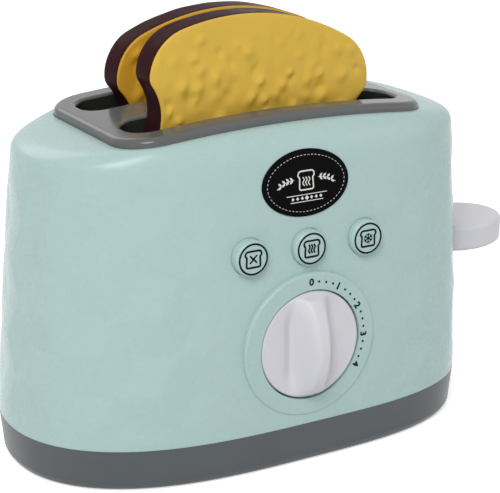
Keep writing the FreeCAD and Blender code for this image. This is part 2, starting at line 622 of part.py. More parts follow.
def make_knob_shaft():
    start = KNOB_FACE_Y + SHAFT_SEAT
    return rod(SHAFT_RADIUS, vec(0, start, DIAL_Z), Y_AXIS, TIMER_BACK_Y - 0.4 - start)


def timer_screw_places():
    middle = (TIMER_BOTTOM_Z + TIMER_TOP_Z) / 2.0
    return [(sx * TIMER_SCREW_X, middle + sz * TIMER_SCREW_RISE) for sx in (-1, 1) for sz in (-1, 1)]


def make_timer_case():
    """The timer's box, open towards the front."""
    case = box(-TIMER_HALF_WIDTH, TIMER_HALF_WIDTH, TIMER_FRONT_Y, TIMER_BACK_Y, TIMER_BOTTOM_Z, TIMER_TOP_Z)
    upright = [e for e in case.Edges if e.BoundBox.YLength > 5.0]
    case = case.makeFillet(2.0, upright)
    hollow = box(-TIMER_HALF_WIDTH + TIMER_WALL, TIMER_HALF_WIDTH - TIMER_WALL, TIMER_FRONT_Y - 1.0,
                 TIMER_BACK_Y - TIMER_WALL, TIMER_BOTTOM_Z + TIMER_WALL, TIMER_TOP_Z - TIMER_WALL)
    case = case.cut(hollow)
    case = case.cut(rod(SHAFT_RADIUS + RUNNING_FIT, vec(0, -50, DIAL_Z), Y_AXIS, 30.0))
    for x, z in timer_screw_places():
        boss = rod(TIMER_BOSS_RADIUS, vec(x, TIMER_FRONT_Y, z), Y_AXIS, TIMER_BACK_Y - 0.5 - TIMER_FRONT_Y)
        case = fuse(case, boss).cut(rod(SMALL_SCREW_RADIUS, vec(x, TIMER_FRONT_Y - 1.0, z), Y_AXIS, 9.0))
    feet = [box(side * 18.0 - 3.0, side * 18.0 + 3.0, TIMER_BACK_Y - 8.0, TIMER_BACK_Y - 1.0,
                BASE_FLOOR, TIMER_BOTTOM_Z + 0.5) for side in (-1, 1)]
    case = fuse(case, *feet)
    return case.cut(rod(PINION_PIN_RADIUS + RUNNING_FIT, vec(pinion_x(), -50, DIAL_Z), Y_AXIS, 30.0))


def pinion_x():
    """The pinion's axis stands beside the shaft at the pair's centre distance."""
    return GEAR_MODULE * (MAIN_TEETH + PINION_TEETH) / 2.0


def make_timer_cover():
    """The front plate of the timer, which carries both axles."""
    cover = box(-TIMER_HALF_WIDTH, TIMER_HALF_WIDTH, TIMER_FRONT_Y - TIMER_COVER, TIMER_FRONT_Y,
                TIMER_BOTTOM_Z, TIMER_TOP_Z)
    upright = [e for e in cover.Edges if e.BoundBox.YLength > 1.0]
    cover = cover.makeFillet(2.0, upright)
    cover = cover.cut(rod(SHAFT_RADIUS + RUNNING_FIT, vec(0, -60, DIAL_Z), Y_AXIS, 30.0))
    for x, z in timer_screw_places():
        cover = cover.cut(timer_screw(x, z))
    return cover.cut(rod(PINION_PIN_RADIUS + RUNNING_FIT, vec(pinion_x(), -60, DIAL_Z), Y_AXIS, 30.0))


def timer_screw(x, z):
    """A flat-head screw whose head lies flush in the cover."""
    start = vec(x, TIMER_FRONT_Y - TIMER_COVER, z)
    head = rod(FLAT_HEAD_RADIUS, start, Y_AXIS, FLAT_HEAD)
    return fuse(head, rod(SMALL_SCREW_RADIUS, start, Y_AXIS, 9.0))


def involute(angle):
    return math.tan(angle) - angle


def spur_gear(teeth, thickness, bore, start, turn):
    """A spur gear along +Y with involute flanks and a little backlash."""
    pitch_r = GEAR_MODULE * teeth / 2.0
    base_r = pitch_r * math.cos(PRESSURE_ANGLE)
    tip_r = pitch_r + 0.9 * GEAR_MODULE
    root_r = pitch_r - 1.2 * GEAR_MODULE
    half_tooth = math.pi / (2.0 * teeth) - 0.06 / pitch_r
    points = []
    for i in range(teeth):
        middle = turn + 2.0 * math.pi * i / teeth
        flank = []
        for k in range(5):
            r = max(base_r, root_r) + (tip_r - max(base_r, root_r)) * k / 4.0
            opening = math.acos(min(1.0, base_r / r))
            flank.append((r, half_tooth + involute(PRESSURE_ANGLE) - involute(opening)))
        foot = (root_r, flank[0][1])
        left = [foot] + flank
        for r, a in left:
            points.append((r, middle - a))
        for r, a in reversed(left):
            points.append((r, middle + a))
    corners = [vec(r * math.cos(a), 0, r * math.sin(a)) for r, a in points]
    face = Part.Face(Part.makePolygon(corners + corners[:1]))
    gear = face.extrude(vec(0, thickness, 0))
    gear = gear.cut(rod(bore, vec(0, -1, 0), Y_AXIS, thickness + 2.0))
    gear.translate(start)
    return gear


def make_main_gear():
    return spur_gear(MAIN_TEETH, 2.2, SHAFT_RADIUS, vec(0, TIMER_FRONT_Y + 1.0, DIAL_Z), 0.0)


def make_pinion():
    """The small gear and its hub."""
    turn = math.pi + math.pi / PINION_TEETH
    return spur_gear(PINION_TEETH, 3.0, PINION_PIN_RADIUS, vec(pinion_x(), TIMER_FRONT_Y + 0.6, DIAL_Z), turn)


def make_pinion_axle():
    start = TIMER_FRONT_Y - 1.4
    return rod(PINION_PIN_RADIUS, vec(pinion_x(), start, DIAL_Z), Y_AXIS, TIMER_BACK_Y - 0.1 - start)


def make_tick_wheel():
    """The ratchet wheel that clicks past the reed."""
    teeth = 12
    points = []
    for i in range(teeth):
        a = 2.0 * math.pi * i / teeth
        points.append(vec(4.6 * math.cos(a), 0, 4.6 * math.sin(a)))
        points.append(vec(3.6 * math.cos(a + 0.1), 0, 3.6 * math.sin(a + 0.1)))
    wheel = Part.Face(Part.makePolygon(points + points[:1])).extrude(vec(0, 2.0, 0))
    wheel = wheel.cut(rod(PINION_PIN_RADIUS, vec(0, -1, 0), Y_AXIS, 4.0))
    wheel.translate(vec(pinion_x(), TIMER_FRONT_Y + 5.0, DIAL_Z))
    return wheel


def make_tick_reed():
    """The thin steel tongue beside the tick wheel."""
    x = pinion_x()
    return fuse(box(x - 0.2, x + 0.2, TIMER_FRONT_Y + 5.2, TIMER_FRONT_Y + 6.8, DIAL_Z + 5.0,
                    TIMER_TOP_Z - TIMER_WALL - 1.0),
                box(x - 2.6, x + 1.0, TIMER_FRONT_Y + 5.2, TIMER_FRONT_Y + 6.8,
                    TIMER_TOP_Z - TIMER_WALL - 3.0, TIMER_TOP_Z - TIMER_WALL))


def make_release_cam():
    """The cam on the shaft: a round disc with one lobe."""
    disc = rod(7.0, vec(0, TIMER_FRONT_Y + 4.4, DIAL_Z), Y_AXIS, 2.0)
    lobe = rod(3.0, vec(-6.5, TIMER_FRONT_Y + 4.4, DIAL_Z), Y_AXIS, 2.0)
    return fuse(disc, lobe).cut(rod(SHAFT_RADIUS, vec(0, -60, DIAL_Z), Y_AXIS, 40.0))


def make_mainspring():
    """The flat spiral spring wound on the shaft."""
    turns, strip, width = 4.0, 0.35, 3.0
    inner, outer = SHAFT_RADIUS, 8.6
    steps = 96
    inside, outside = [], []
    for i in range(steps + 1):
        a = 2.0 * math.pi * turns * i / steps
        r = inner + (outer - inner) * i / steps
        inside.append(vec(r * math.cos(a), 0, r * math.sin(a)))
        outside.append(vec((r + strip) * math.cos(a), 0, (r + strip) * math.sin(a)))
    curve_in, curve_out = Part.BSplineCurve(), Part.BSplineCurve()
    curve_in.interpolate(inside)
    curve_out.interpolate(outside)
    ends = [Part.makeLine(inside[0], outside[0]), Part.makeLine(inside[-1], outside[-1])]
    wire = Part.Wire(Part.__sortEdges__([curve_in.toShape(), curve_out.toShape()] + ends))
    spring = Part.Face(wire).extrude(vec(0, width, 0))
    spring.translate(vec(0, TIMER_FRONT_Y + 7.6, DIAL_Z))
    return spring


# ---------------------------------------------------------------- push buttons
def make_button(x):
    """A push button: round cap, stop flange behind the wall and a stem."""
    y_back = BUTTON_FLANGE_Y + BUTTON_FLANGE
    cap = rod(BUTTON_RADIUS, vec(x, BUTTON_FACE_Y, BUTTON_Z), Y_AXIS, y_back - BUTTON_FACE_Y)
    front = min((e for e in cap.Edges if e.Closed), key=lambda e: e.CenterOfMass.y)
    cap = cap.makeFillet(BUTTON_EDGE_RADIUS, [front])
    flange = rod(BUTTON_FLANGE_RADIUS, vec(x, BUTTON_FLANGE_Y, BUTTON_Z), Y_AXIS, BUTTON_FLANGE)
    stem_start = y_back - 0.5
    stem_end = BUTTON_PLATE_Y + BUTTON_STEM_REACH
    stem = rod(BUTTON_STEM_RADIUS, vec(x, stem_start, BUTTON_Z), Y_AXIS, stem_end - stem_start)
    return fuse(cap, flange, stem)


def make_button_spring(x):
    start = BUTTON_FLANGE_Y + BUTTON_FLANGE
    return helix_spring(3.1, 0.3, vec(x, start, BUTTON_Z), Y_AXIS, BUTTON_PLATE_Y - start, 5)


def make_button_plate():
    """The plate behind the buttons that their stems slide in."""
    half_length = BUTTON_PITCH + 8.0
    back = BUTTON_PLATE_Y + BUTTON_PLATE_THICKNESS
    plate = box(-half_length, half_length, BUTTON_PLATE_Y, back, BUTTON_Z - 7.0, BUTTON_Z + 7.0)
    upright = [e for e in plate.Edges if e.BoundBox.YLength > 1.0]
    plate = plate.makeFillet(3.0, upright)
    for side in (-1, 0, 1):
        plate = plate.cut(rod(BUTTON_STEM_RADIUS + RUNNING_FIT, vec(side * BUTTON_PITCH, -50, BUTTON_Z),
                              Y_AXIS, 30.0))
    for side in (-0.5, 0.5):
        plate = plate.cut(rod(PEG_SCREW_RADIUS, vec(side * BUTTON_PITCH, -50, BUTTON_Z), Y_AXIS, 30.0))
    return plate


# ---------------------------------------------------------------- slices
def slice_outline():
    """The closed toast outline in the XZ plane, its top at the origin."""
    half = SLICE_WIDTH / 2.0
    crown, shoulder = SLICE_CROWN_RADIUS, SLICE_SHOULDER_RADIUS
    cheek, neck, foot = SLICE_CHEEK_RADIUS, SLICE_NECK_RADIUS, SLICE_FOOT_RADIUS
    side = SLICE_NECK_HALF_WIDTH
    shoulder_x = half - shoulder
    shoulder_z = -crown + math.sqrt((crown - shoulder) ** 2 - shoulder_x ** 2)
    reach = crown / (crown - shoulder)
    top_join = (shoulder_x * reach, -crown + (shoulder_z + crown) * reach)
    cheek_x = half - cheek
    neck_x = side + neck
    neck_z = shoulder_z - math.sqrt((cheek + neck) ** 2 - (neck_x - cheek_x) ** 2)
    part = cheek / (cheek + neck)
    low_join = (cheek_x + (neck_x - cheek_x) * part, shoulder_z + (neck_z - shoulder_z) * part)
    bottom = -SLICE_HEIGHT
    edges = [Part.Arc(vec(-top_join[0], 0, top_join[1]), vec(0, 0, 0), vec(top_join[0], 0, top_join[1]))]
    for s in (-1, 1):
        angle = 0.5 * math.atan2(top_join[1] - shoulder_z, top_join[0] - shoulder_x)
        mid = (shoulder_x + shoulder * math.cos(angle), shoulder_z + shoulder * math.sin(angle))
        edges.append(Part.Arc(vec(s * top_join[0], 0, top_join[1]), vec(s * mid[0], 0, mid[1]),
                              vec(s * half, 0, shoulder_z)))
        angle = 0.5 * math.atan2(low_join[1] - shoulder_z, low_join[0] - cheek_x)
        mid = (cheek_x + cheek * math.cos(angle), shoulder_z + cheek * math.sin(angle))
        edges.append(Part.Arc(vec(s * half, 0, shoulder_z), vec(s * mid[0], 0, mid[1]),
                              vec(s * low_join[0], 0, low_join[1])))
        angle = math.pi + 0.5 * math.atan2(low_join[1] - neck_z, neck_x - low_join[0]) * -1.0
        mid = (neck_x + neck * math.cos(angle), neck_z + neck * math.sin(angle))
        edges.append(Part.Arc(vec(s * low_join[0], 0, low_join[1]), vec(s * mid[0], 0, mid[1]),
                              vec(s * side, 0, neck_z)))
        edges.append(Part.LineSegment(vec(s * side, 0, neck_z), vec(s * side, 0, bottom + foot)))
        corner = (side - foot + foot * math.cos(-math.pi / 4), bottom + foot + foot * math.sin(-math.pi / 4))
        edges.append(Part.Arc(vec(s * side, 0, bottom + foot), vec(s * corner[0], 0, corner[1]),
                              vec(s * (side - foot), 0, bottom)))
    edges.append(Part.LineSegment(vec(foot - side, 0, bottom), vec(side - foot, 0, bottom)))
    return Part.Wire(Part.__sortEdges__([e.toShape() for e in edges]))


def slice_prism(inset, y0, y1):
    """A prism on the outline, drawn in by an inset, between two depths."""
    wire = slice_outline()
    if inset > 0:
        wire = wire.makeOffset2D(-inset)
        if wire.BoundBox.XLength > SLICE_WIDTH:
            wire = slice_outline().makeOffset2D(inset)
    face = Part.Face(wire)
    face.translate(vec(0, y0, 0))
    return face.extrude(vec(0, y1 - y0, 0))


def place_slice(shape, x, y, top_z, lean):
    """Stand a piece of a slice in its well, leaning a little."""
    moved = shape.copy()
    moved.rotate(vec(0, 0, 0), Y_AXIS, lean)
    moved.translate(vec(x, y, top_z))
    return moved


def make_crust():
    """The brown crust: a hollow rim with a seat for each face."""
    half = SLICE_THICKNESS / 2.0
    block = slice_prism(0.0, -half, half)
    rims = [e for e in block.Edges if e.BoundBox.YLength < 0.01]
    block = block.makeFillet(0.8, rims)
    block = block.cut(slice_prism(CRUST_RIM, half - FACE_SEAT, half + 1.0))
    block = block.cut(slice_prism(CRUST_RIM, -half - 1.0, -half + FACE_SEAT))
    return block.cut(slice_prism(CRUST_WALL, -half - 1.0, half + 1.0))


def make_face(side):
    """One toasted face, standing a little proud of the crust with a rounded rim."""
    half = SLICE_THICKNESS / 2.0
    inner, outer = half - FACE_SEAT, half + FACE_PROUD
    plate = slice_prism(CRUST_RIM, min(side * inner, side * outer), max(side * inner, side * outer))
    far = side * outer
    rims = [e for e in plate.Edges if abs(e.BoundBox.YMin - far) < 0.01 and abs(e.BoundBox.YMax - far) < 0.01]
    return plate.makeFillet(0.45, rims)


# ---------------------------------------------------------------- screws
def make_shell_screws():
    length = SHELL_SCREW_TIP_Z - SHELL_SCREW_SEAT_Z
    return Part.makeCompound([screw(vec(x, y, SHELL_SCREW_TIP_Z), -Z_AXIS, length) for x, y in post_places()])


def make_well_screws():
    top = WELL_FLOOR_Z + WELL_FLOOR
    length = top - WELL_SCREW_SEAT_Z
    return Part.makeCompound([screw(vec(x, y, top), -Z_AXIS, length) for x, y in well_post_places()])


def make_bracket_screws():
    tip_x = SLOT_HALF_LENGTH
    return Part.makeCompound([screw(vec(tip_x, side * SLOT_Y, BRACKET_SCREW_Z), X_AXIS,
                                    COLLAR_WALL + BRACKET_PLATE) for side in (-1, 1)])


def make_carriage_screws():
    tip_x = CARRIAGE_X - 2.0
    length = CARRIAGE_PLATE + 2.0
    tip_z = LIFTER_TOP_Z + LIFTER_SCREW_RISE
    return Part.makeCompound([screw(vec(tip_x, side * SLOT_Y, tip_z), X_AXIS, length) for side in (-1, 1)])


def make_timer_screws():
    return Part.makeCompound([timer_screw(x, z) for x, z in timer_screw_places()])


def make_button_plate_screws():
    back = BUTTON_PLATE_Y + BUTTON_PLATE_THICKNESS
    pieces = []
    for side in (-0.5, 0.5):
        x = side * BUTTON_PITCH
        shank = rod(PEG_SCREW_RADIUS, vec(x, back - PEG_SCREW_LENGTH, BUTTON_Z), Y_AXIS, PEG_SCREW_LENGTH)
        pieces.append(fuse(shank, rod(2.0 * PEG_SCREW_RADIUS, vec(x, back, BUTTON_Z), Y_AXIS, 1.2)))
    return Part.makeCompound(pieces)


def make_all():
    os.makedirs("parts", exist_ok=True)
    save("body_shell", make_body_shell())
    save("base_tray", make_base_tray())
    save("top_bezel", make_top_bezel())
    save("front_badge", make_badge())
    save("front_well", make_well(-SLOT_Y))
    save("rear_well", make_well(SLOT_Y))
    save("rod_bracket", make_rod_bracket())
    save("guide_rod_front", make_guide_rod(-1))
    save("guide_rod_rear", make_guide_rod(1))
    save("carriage", make_carriage())
    save("front_lifter", make_lifter(-1))
    save("rear_lifter", make_lifter(1))
    save("lever_paddle", make_paddle())
    save("latch_hook", make_latch_hook())
    save("latch_pin", make_latch_pin())
    sleeve_foot = PADDLE_TOP_Z - PADDLE_THICKNESS / 2.0 + 6.0 - SLEEVE_HALF_HEIGHT
    for side, name in ((-1, "lift_spring_front"), (1, "lift_spring_rear")):
        save(name, helix_spring(3.1, 0.45, vec(ROD_X, side * ROD_Y, 10.0), Z_AXIS, sleeve_foot - 10.0, 8))
    save("timer_knob", make_timer_knob())
    save("knob_shaft", make_knob_shaft())
    save("timer_case", make_timer_case())
    save("timer_cover", make_timer_cover())
    save("main_gear", make_main_gear())
    save("release_cam", make_release_cam())
    save("mainspring", make_mainspring())
    save("pinion", make_pinion())
    save("pinion_axle", make_pinion_axle())
    save("tick_wheel", make_tick_wheel())
    save("tick_reed", make_tick_reed())
    for side, name in ((-1, "left"), (0, "middle"), (1, "right")):
        save("button_" + name, make_button(side * BUTTON_PITCH))
        save("button_spring_" + name, make_button_spring(side * BUTTON_PITCH))
    save("button_plate", make_button_plate())
    crust = make_crust()
    faces = {"front": make_face(-1), "rear": make_face(1)}
    front_y, rear_y = SLICE_SET_BACK - SLOT_Y, SLICE_SET_BACK + SLOT_Y
    places = (("front_slice", FRONT_SLICE_X, front_y, FRONT_SLICE_TOP_Z, FRONT_SLICE_LEAN),
              ("rear_slice", REAR_SLICE_X, rear_y, REAR_SLICE_TOP_Z, REAR_SLICE_LEAN))
    for name, x, y, top_z, lean in places:
        save(name + "_crust", place_slice(crust, x, y, top_z, lean))
        for which, face in faces.items():
            save(name + "_face_" + which, place_slice(face, x, y, top_z, lean))
    save("shell_screws", make_shell_screws())
    save("well_screws", make_well_screws())
    save("bracket_screws", make_bracket_screws())
    save("carriage_screws", make_carriage_screws())
    save("timer_screws", make_timer_screws())
    save("button_plate_screws", make_button_plate_screws())


make_all()
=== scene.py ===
"""Toy toaster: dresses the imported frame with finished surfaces, a floor, lights and a camera.

Lengths are metres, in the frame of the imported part: +X lever end, -Y front with the dial, +Z up.
"""

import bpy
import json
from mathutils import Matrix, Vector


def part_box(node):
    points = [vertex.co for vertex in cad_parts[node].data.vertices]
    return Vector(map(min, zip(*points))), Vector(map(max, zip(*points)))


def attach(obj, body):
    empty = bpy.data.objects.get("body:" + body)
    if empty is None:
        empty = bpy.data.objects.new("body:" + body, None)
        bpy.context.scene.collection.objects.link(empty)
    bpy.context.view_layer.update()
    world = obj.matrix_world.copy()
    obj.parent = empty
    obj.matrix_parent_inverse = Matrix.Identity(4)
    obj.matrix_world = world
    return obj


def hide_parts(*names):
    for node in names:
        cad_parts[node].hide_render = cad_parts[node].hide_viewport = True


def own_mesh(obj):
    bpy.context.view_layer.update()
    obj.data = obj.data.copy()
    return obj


bl_info = {
    "name": "Toy toaster",
    "version": (1, 0, 0),
    "blender": (4, 5, 0),
    "location": "3D View > Sidebar > Toy toaster",
    "description": "Builds the surfaces, prints and finishes of a toy toaster on its packed frame",
    "category": "Add Mesh",
}

import json
import math
import random

import bmesh
import bpy
from mathutils import Matrix, Vector, noise

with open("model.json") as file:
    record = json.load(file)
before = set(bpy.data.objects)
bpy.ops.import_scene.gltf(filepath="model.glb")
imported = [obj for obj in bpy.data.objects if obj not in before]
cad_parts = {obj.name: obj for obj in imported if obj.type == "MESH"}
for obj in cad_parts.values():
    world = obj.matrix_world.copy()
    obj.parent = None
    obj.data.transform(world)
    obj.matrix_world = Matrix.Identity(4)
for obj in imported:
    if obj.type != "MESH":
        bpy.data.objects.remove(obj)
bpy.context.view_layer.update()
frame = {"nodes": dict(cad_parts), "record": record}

MM = 0.001
TAU = 2.0 * math.pi

# Each half of the casing's plan is a superellipse that draws in as it rises.
FAR_POWERS = (2.88, 2.17)
LEVER_POWERS = (3.43, 2.7)
FAR_TAPER = (5.3, 0.6)
LEVER_TAPER = (1.2, 0.7)
SIDE_TAPER = (-0.1, 2.7)
JOINT_Z = 16.05
TAPER_FROM_Z = 16.0
TAPER_HEIGHT = 70.0
WALL = 2.4
BEZEL_CORE_X = 47.3
BEZEL_CORE_Y = 22.7
BEZEL_CORNER = 15.0
BEZEL_BOW = 0.5
BEZEL_SEAT = 1.2
BEZEL_INSET = 3.0
SHOULDER_Z_FRONT = 111.2
SHOULDER_Z_END = 114.4
SHOULDER_POWER = 2.2
CROWN_Z = 125.1
CROWN_FALL = 0.00102

DIAL_Z = 46.6
RING_FACE_Y = -53.0
KNOB_FACE_Y = -52.8
BUTTON_Z = 82.7
BUTTON_PITCH = 23.6
BUTTON_FACE_Y = -52.9
BADGE_Z = 105.5
SLOT_Y = 18.45
LEVER_TRACK_HALF = 15.0
SLOT_HALF_LENGTH = 55.3
SLOT_HALF_WIDTH = 9.6

# Where the facets lie on the wall, and over what distance they fade out.
FACET_ROW_Z = 35.8
FACET_ROW_HEIGHT = 14.3
FACET_MEASURE_Z = 65.0
FACET_LOW_Z = (18.0, 30.0)
FACET_HIGH_Z = 104.0
PLAIN_FADE = 16.0
TRACK_FADE = 9.0

PRINT_HALF = 0.04              # half the thickness of the badge's prints
BADGE_PROUD = 0.55
BADGE_PRINT_PROUD = 0.56
KNOB_EDGE = 0.9
BUTTON_EDGE = 1.5

SLICE_HALF = 44.6
SLICE_CROWN = 86.0
SLICE_SHOULDER = 18.0
SLICE_CHEEK = 6.0
SLICE_NECK = 18.0
SLICE_NECK_HALF = 38.6
SLICE_FOOT = 7.0
SLICE_HEIGHT = 81.4
SLICE_SET_BACK = 0.5           # how far behind the middle of its slot a slice stands
RIM_Y = 0.35                   # how far the crust's sides stand back from its thickness


# ---------------------------------------------------------------- sizes and colours a user may change
class ToasterBody(bpy.types.PropertyGroup):
    far_length: bpy.props.FloatProperty(
        name="Far length",
        description="From the casing's middle to its far end, at the joint with the base",
        default=0.095, unit="LENGTH")
    lever_length: bpy.props.FloatProperty(
        name="Lever length",
        description="From the casing's middle to its lever end, at the joint with the base",
        default=0.0867, unit="LENGTH")
    half_width: bpy.props.FloatProperty(
        name="Half width", description="Half the casing's width at the joint with the base",
        default=0.0525, unit="LENGTH")
    facet_depth: bpy.props.FloatProperty(
        name="Facet depth", description="How far the facet corners stand in or out of the smooth wall",
        default=0.0007, unit="LENGTH")
    facet_pitch: bpy.props.FloatProperty(
        name="Facet pitch", description="Distance between facet corners round the casing",
        default=0.0141, unit="LENGTH")
    plain_half: bpy.props.FloatProperty(
        name="Plain field", description="Half width of the smooth field round the dial and the buttons",
        default=0.034, unit="LENGTH")
    columns: bpy.props.IntProperty(
        name="Columns", description="Mesh columns round the casing", default=486)


class ToasterDial(bpy.types.PropertyGroup):
    ring_radius: bpy.props.FloatProperty(
        name="Ring radius", description="Outer radius of the raised seat round the knob",
        default=0.027, unit="LENGTH")
    knob_radius: bpy.props.FloatProperty(
        name="Knob radius", description="Radius of the knob's disc", default=0.02015, unit="LENGTH")
    grip_height: bpy.props.FloatProperty(
        name="Grip height", description="Height of the grip above the knob's disc",
        default=0.0105, unit="LENGTH")
    numeral_height: bpy.props.FloatProperty(
        name="Numeral height", description="Height of the printed numbers", default=0.0027, unit="LENGTH")
    dot_radius: bpy.props.FloatProperty(
        name="Dot radius", description="Radius of the dots between the numbers",
        default=0.00045, unit="LENGTH")


class ToasterButtons(bpy.types.PropertyGroup):
    radius: bpy.props.FloatProperty(
        name="Cap radius", description="Radius of a push button's cap", default=0.0066, unit="LENGTH")
    ring_radius: bpy.props.FloatProperty(
        name="Printed ring", description="Radius of the printed ring on a cap",
        default=0.00545, unit="LENGTH")
    line_width: bpy.props.FloatProperty(
        name="Line width", description="Width of the printed lines", default=0.00068, unit="LENGTH")


class ToasterBadge(bpy.types.PropertyGroup):
    half_width: bpy.props.FloatProperty(
        name="Half width", description="Half the oval badge's width", default=0.0176, unit="LENGTH")
    half_height: bpy.props.FloatProperty(
        name="Half height", description="Half the oval badge's height", default=0.0118, unit="LENGTH")
    stitches: bpy.props.IntProperty(
        name="Stitches", description="Number of printed stitches round the border", default=56)


class ToasterSlices(bpy.types.PropertyGroup):
    thickness: bpy.props.FloatProperty(
        name="Thickness", description="Thickness of a slice at its crust", default=0.012, unit="LENGTH")
    bump_height: bpy.props.FloatProperty(
        name="Bump height", description="Height of the soft bumps on a slice's faces",
        default=0.00115, unit="LENGTH")
    bump_size: bpy.props.FloatProperty(
        name="Bump size", description="Distance between the soft bumps", default=0.0062, unit="LENGTH")


class ToasterFinishes(bpy.types.PropertyGroup):
    mint: bpy.props.FloatVectorProperty(
        name="Mint", description="Colour of the casing and the buttons", subtype="COLOR",
        default=(0.410, 0.562, 0.545))
    dark_grey: bpy.props.FloatVectorProperty(
        name="Dark grey", description="Colour of the base", subtype="COLOR",
        default=(0.092, 0.102, 0.108))
    bezel_grey: bpy.props.FloatVectorProperty(
        name="Bezel grey", description="Colour of the bezel", subtype="COLOR",
        default=(0.116, 0.121, 0.120))
    white: bpy.props.FloatVectorProperty(
        name="White", description="Colour of the knob and the lever", subtype="COLOR",
        default=(0.655, 0.645, 0.685))
    print_black: bpy.props.FloatVectorProperty(
        name="Print black", description="Colour of the printed numbers and icons", subtype="COLOR",
        default=(0.005, 0.007, 0.008))
    toast: bpy.props.FloatVectorProperty(
        name="Toast", description="Colour of the slices' faces", subtype="COLOR",
        default=(0.68, 0.437, 0.060))
    crust: bpy.props.FloatVectorProperty(
        name="Crust", description="Colour of the slices' crust", subtype="COLOR",
        default=(0.032, 0.010, 0.011))


SETTINGS = (
    ("toaster_body", ToasterBody),
    ("toaster_dial", ToasterDial),
    ("toaster_buttons", ToasterButtons),
    ("toaster_badge", ToasterBadge),
    ("toaster_slices", ToasterSlices),
    ("toaster_finishes", ToasterFinishes),
)


# ---------------------------------------------------------------- materials
def new_tree(name):
    """A new node material: the material, its tree, its shader and its Object coordinates."""
    material = bpy.data.materials.new(name)
    material.use_nodes = True
    tree = material.node_tree
    tree.nodes.clear()
    output = tree.nodes.new("ShaderNodeOutputMaterial")
    shader = tree.nodes.new("ShaderNodeBsdfPrincipled")
    coords = tree.nodes.new("ShaderNodeTexCoord")
    tree.links.new(shader.outputs["BSDF"], output.inputs["Surface"])
    return material, tree, shader, coords.outputs["Object"]


def noise_value(tree, vector, scale, detail=3.0, roughness=0.5):
    node = tree.nodes.new("ShaderNodeTexNoise")
    node.inputs["Scale"].default_value = scale
    node.inputs["Detail"].default_value = detail
    node.inputs["Roughness"].default_value = roughness
    tree.links.new(vector, node.inputs["Vector"])
    return node.outputs["Fac"]


def spread(tree, value, low, high, from_low=0.3, from_high=0.7):
    """Map a value onto a range."""
    node = tree.nodes.new("ShaderNodeMapRange")
    node.inputs["From Min"].default_value = from_low
    node.inputs["From Max"].default_value = from_high
    node.inputs["To Min"].default_value = low
    node.inputs["To Max"].default_value = high
    tree.links.new(value, node.inputs["Value"])
    return node.outputs["Result"]


def blend_colours(tree, factor, first, second):
    node = tree.nodes.new("ShaderNodeMix")
    node.data_type = "RGBA"
    tree.links.new(factor, node.inputs["Factor"])
    for socket, colour in ((node.inputs[6], first), (node.inputs[7], second)):
        if isinstance(colour, bpy.types.NodeSocket):
            tree.links.new(colour, socket)
        else:
            socket.default_value = (*colour, 1.0)
    return node.outputs[2]


def shade_of(colour, factor):
    return tuple(min(1.0, c * factor) for c in colour)


def add_bump(tree, shader, height, strength, distance):
    node = tree.nodes.new("ShaderNodeBump")
    node.inputs["Strength"].default_value = strength
    node.inputs["Distance"].default_value = distance
    tree.links.new(height, node.inputs["Height"])
    tree.links.new(node.outputs["Normal"], shader.inputs["Normal"])


def moulded_plastic(name, colour, roughness, variation=0.03, specular=0.4, grain=0.05, scatter=0.0):
    """Injection-moulded plastic: faint cloudy colour, uneven gloss and a fine surface ripple."""
    material, tree, shader, place = new_tree(name)
    cloud = spread(tree, noise_value(tree, place, 38.0, 3.0), 0.0, 1.0)
    darker, lighter = shade_of(colour, 1.0 - variation), shade_of(colour, 1.0 + variation)
    tree.links.new(blend_colours(tree, cloud, darker, lighter), shader.inputs["Base Color"])
    gloss = noise_value(tree, place, 160.0, 4.0, 0.6)
    tree.links.new(spread(tree, gloss, roughness * 0.96, roughness * 1.06), shader.inputs["Roughness"])
    add_bump(tree, shader, noise_value(tree, place, 220.0, 2.0), grain, 0.0001)
    shader.inputs["IOR"].default_value = 1.47
    shader.inputs["Specular IOR Level"].default_value = specular
    if scatter > 0.0:
        shader.inputs["Subsurface Weight"].default_value = scatter
        shader.inputs["Subsurface Radius"].default_value = (0.8, 0.7, 0.6)
        shader.inputs["Subsurface Scale"].default_value = 0.0015
    return material


def make_steel():
    """Drawn spring and screw steel: fine streaks in gloss."""
    material, tree, shader, place = new_tree("spring_steel")
    cloud = spread(tree, noise_value(tree, place, 60.0, 4.0), 0.0, 1.0)
    dull, bright = (0.46, 0.46, 0.48), (0.60, 0.60, 0.62)
    tree.links.new(blend_colours(tree, cloud, dull, bright), shader.inputs["Base Color"])
    shader.inputs["Metallic"].default_value = 1.0
    streak = noise_value(tree, place, 1400.0, 3.0)
    tree.links.new(spread(tree, streak, 0.22, 0.42), shader.inputs["Roughness"])
    add_bump(tree, shader, streak, 0.2, 0.00002)
    return material


def make_print(name, colour):
    """Pad-printed ink: flat, slightly broken at a fine scale."""
    material, tree, shader, place = new_tree(name)
    speck = spread(tree, noise_value(tree, place, 1600.0, 3.0), 0.0, 1.0, 0.35, 0.75)
    lighter = tuple(c + 0.006 for c in colour)
    tree.links.new(blend_colours(tree, speck, colour, lighter), shader.inputs["Base Color"])
    tree.links.new(spread(tree, speck, 0.42, 0.56, 0.0, 1.0), shader.inputs["Roughness"])
    shader.inputs["Specular IOR Level"].default_value = 0.06
    return material


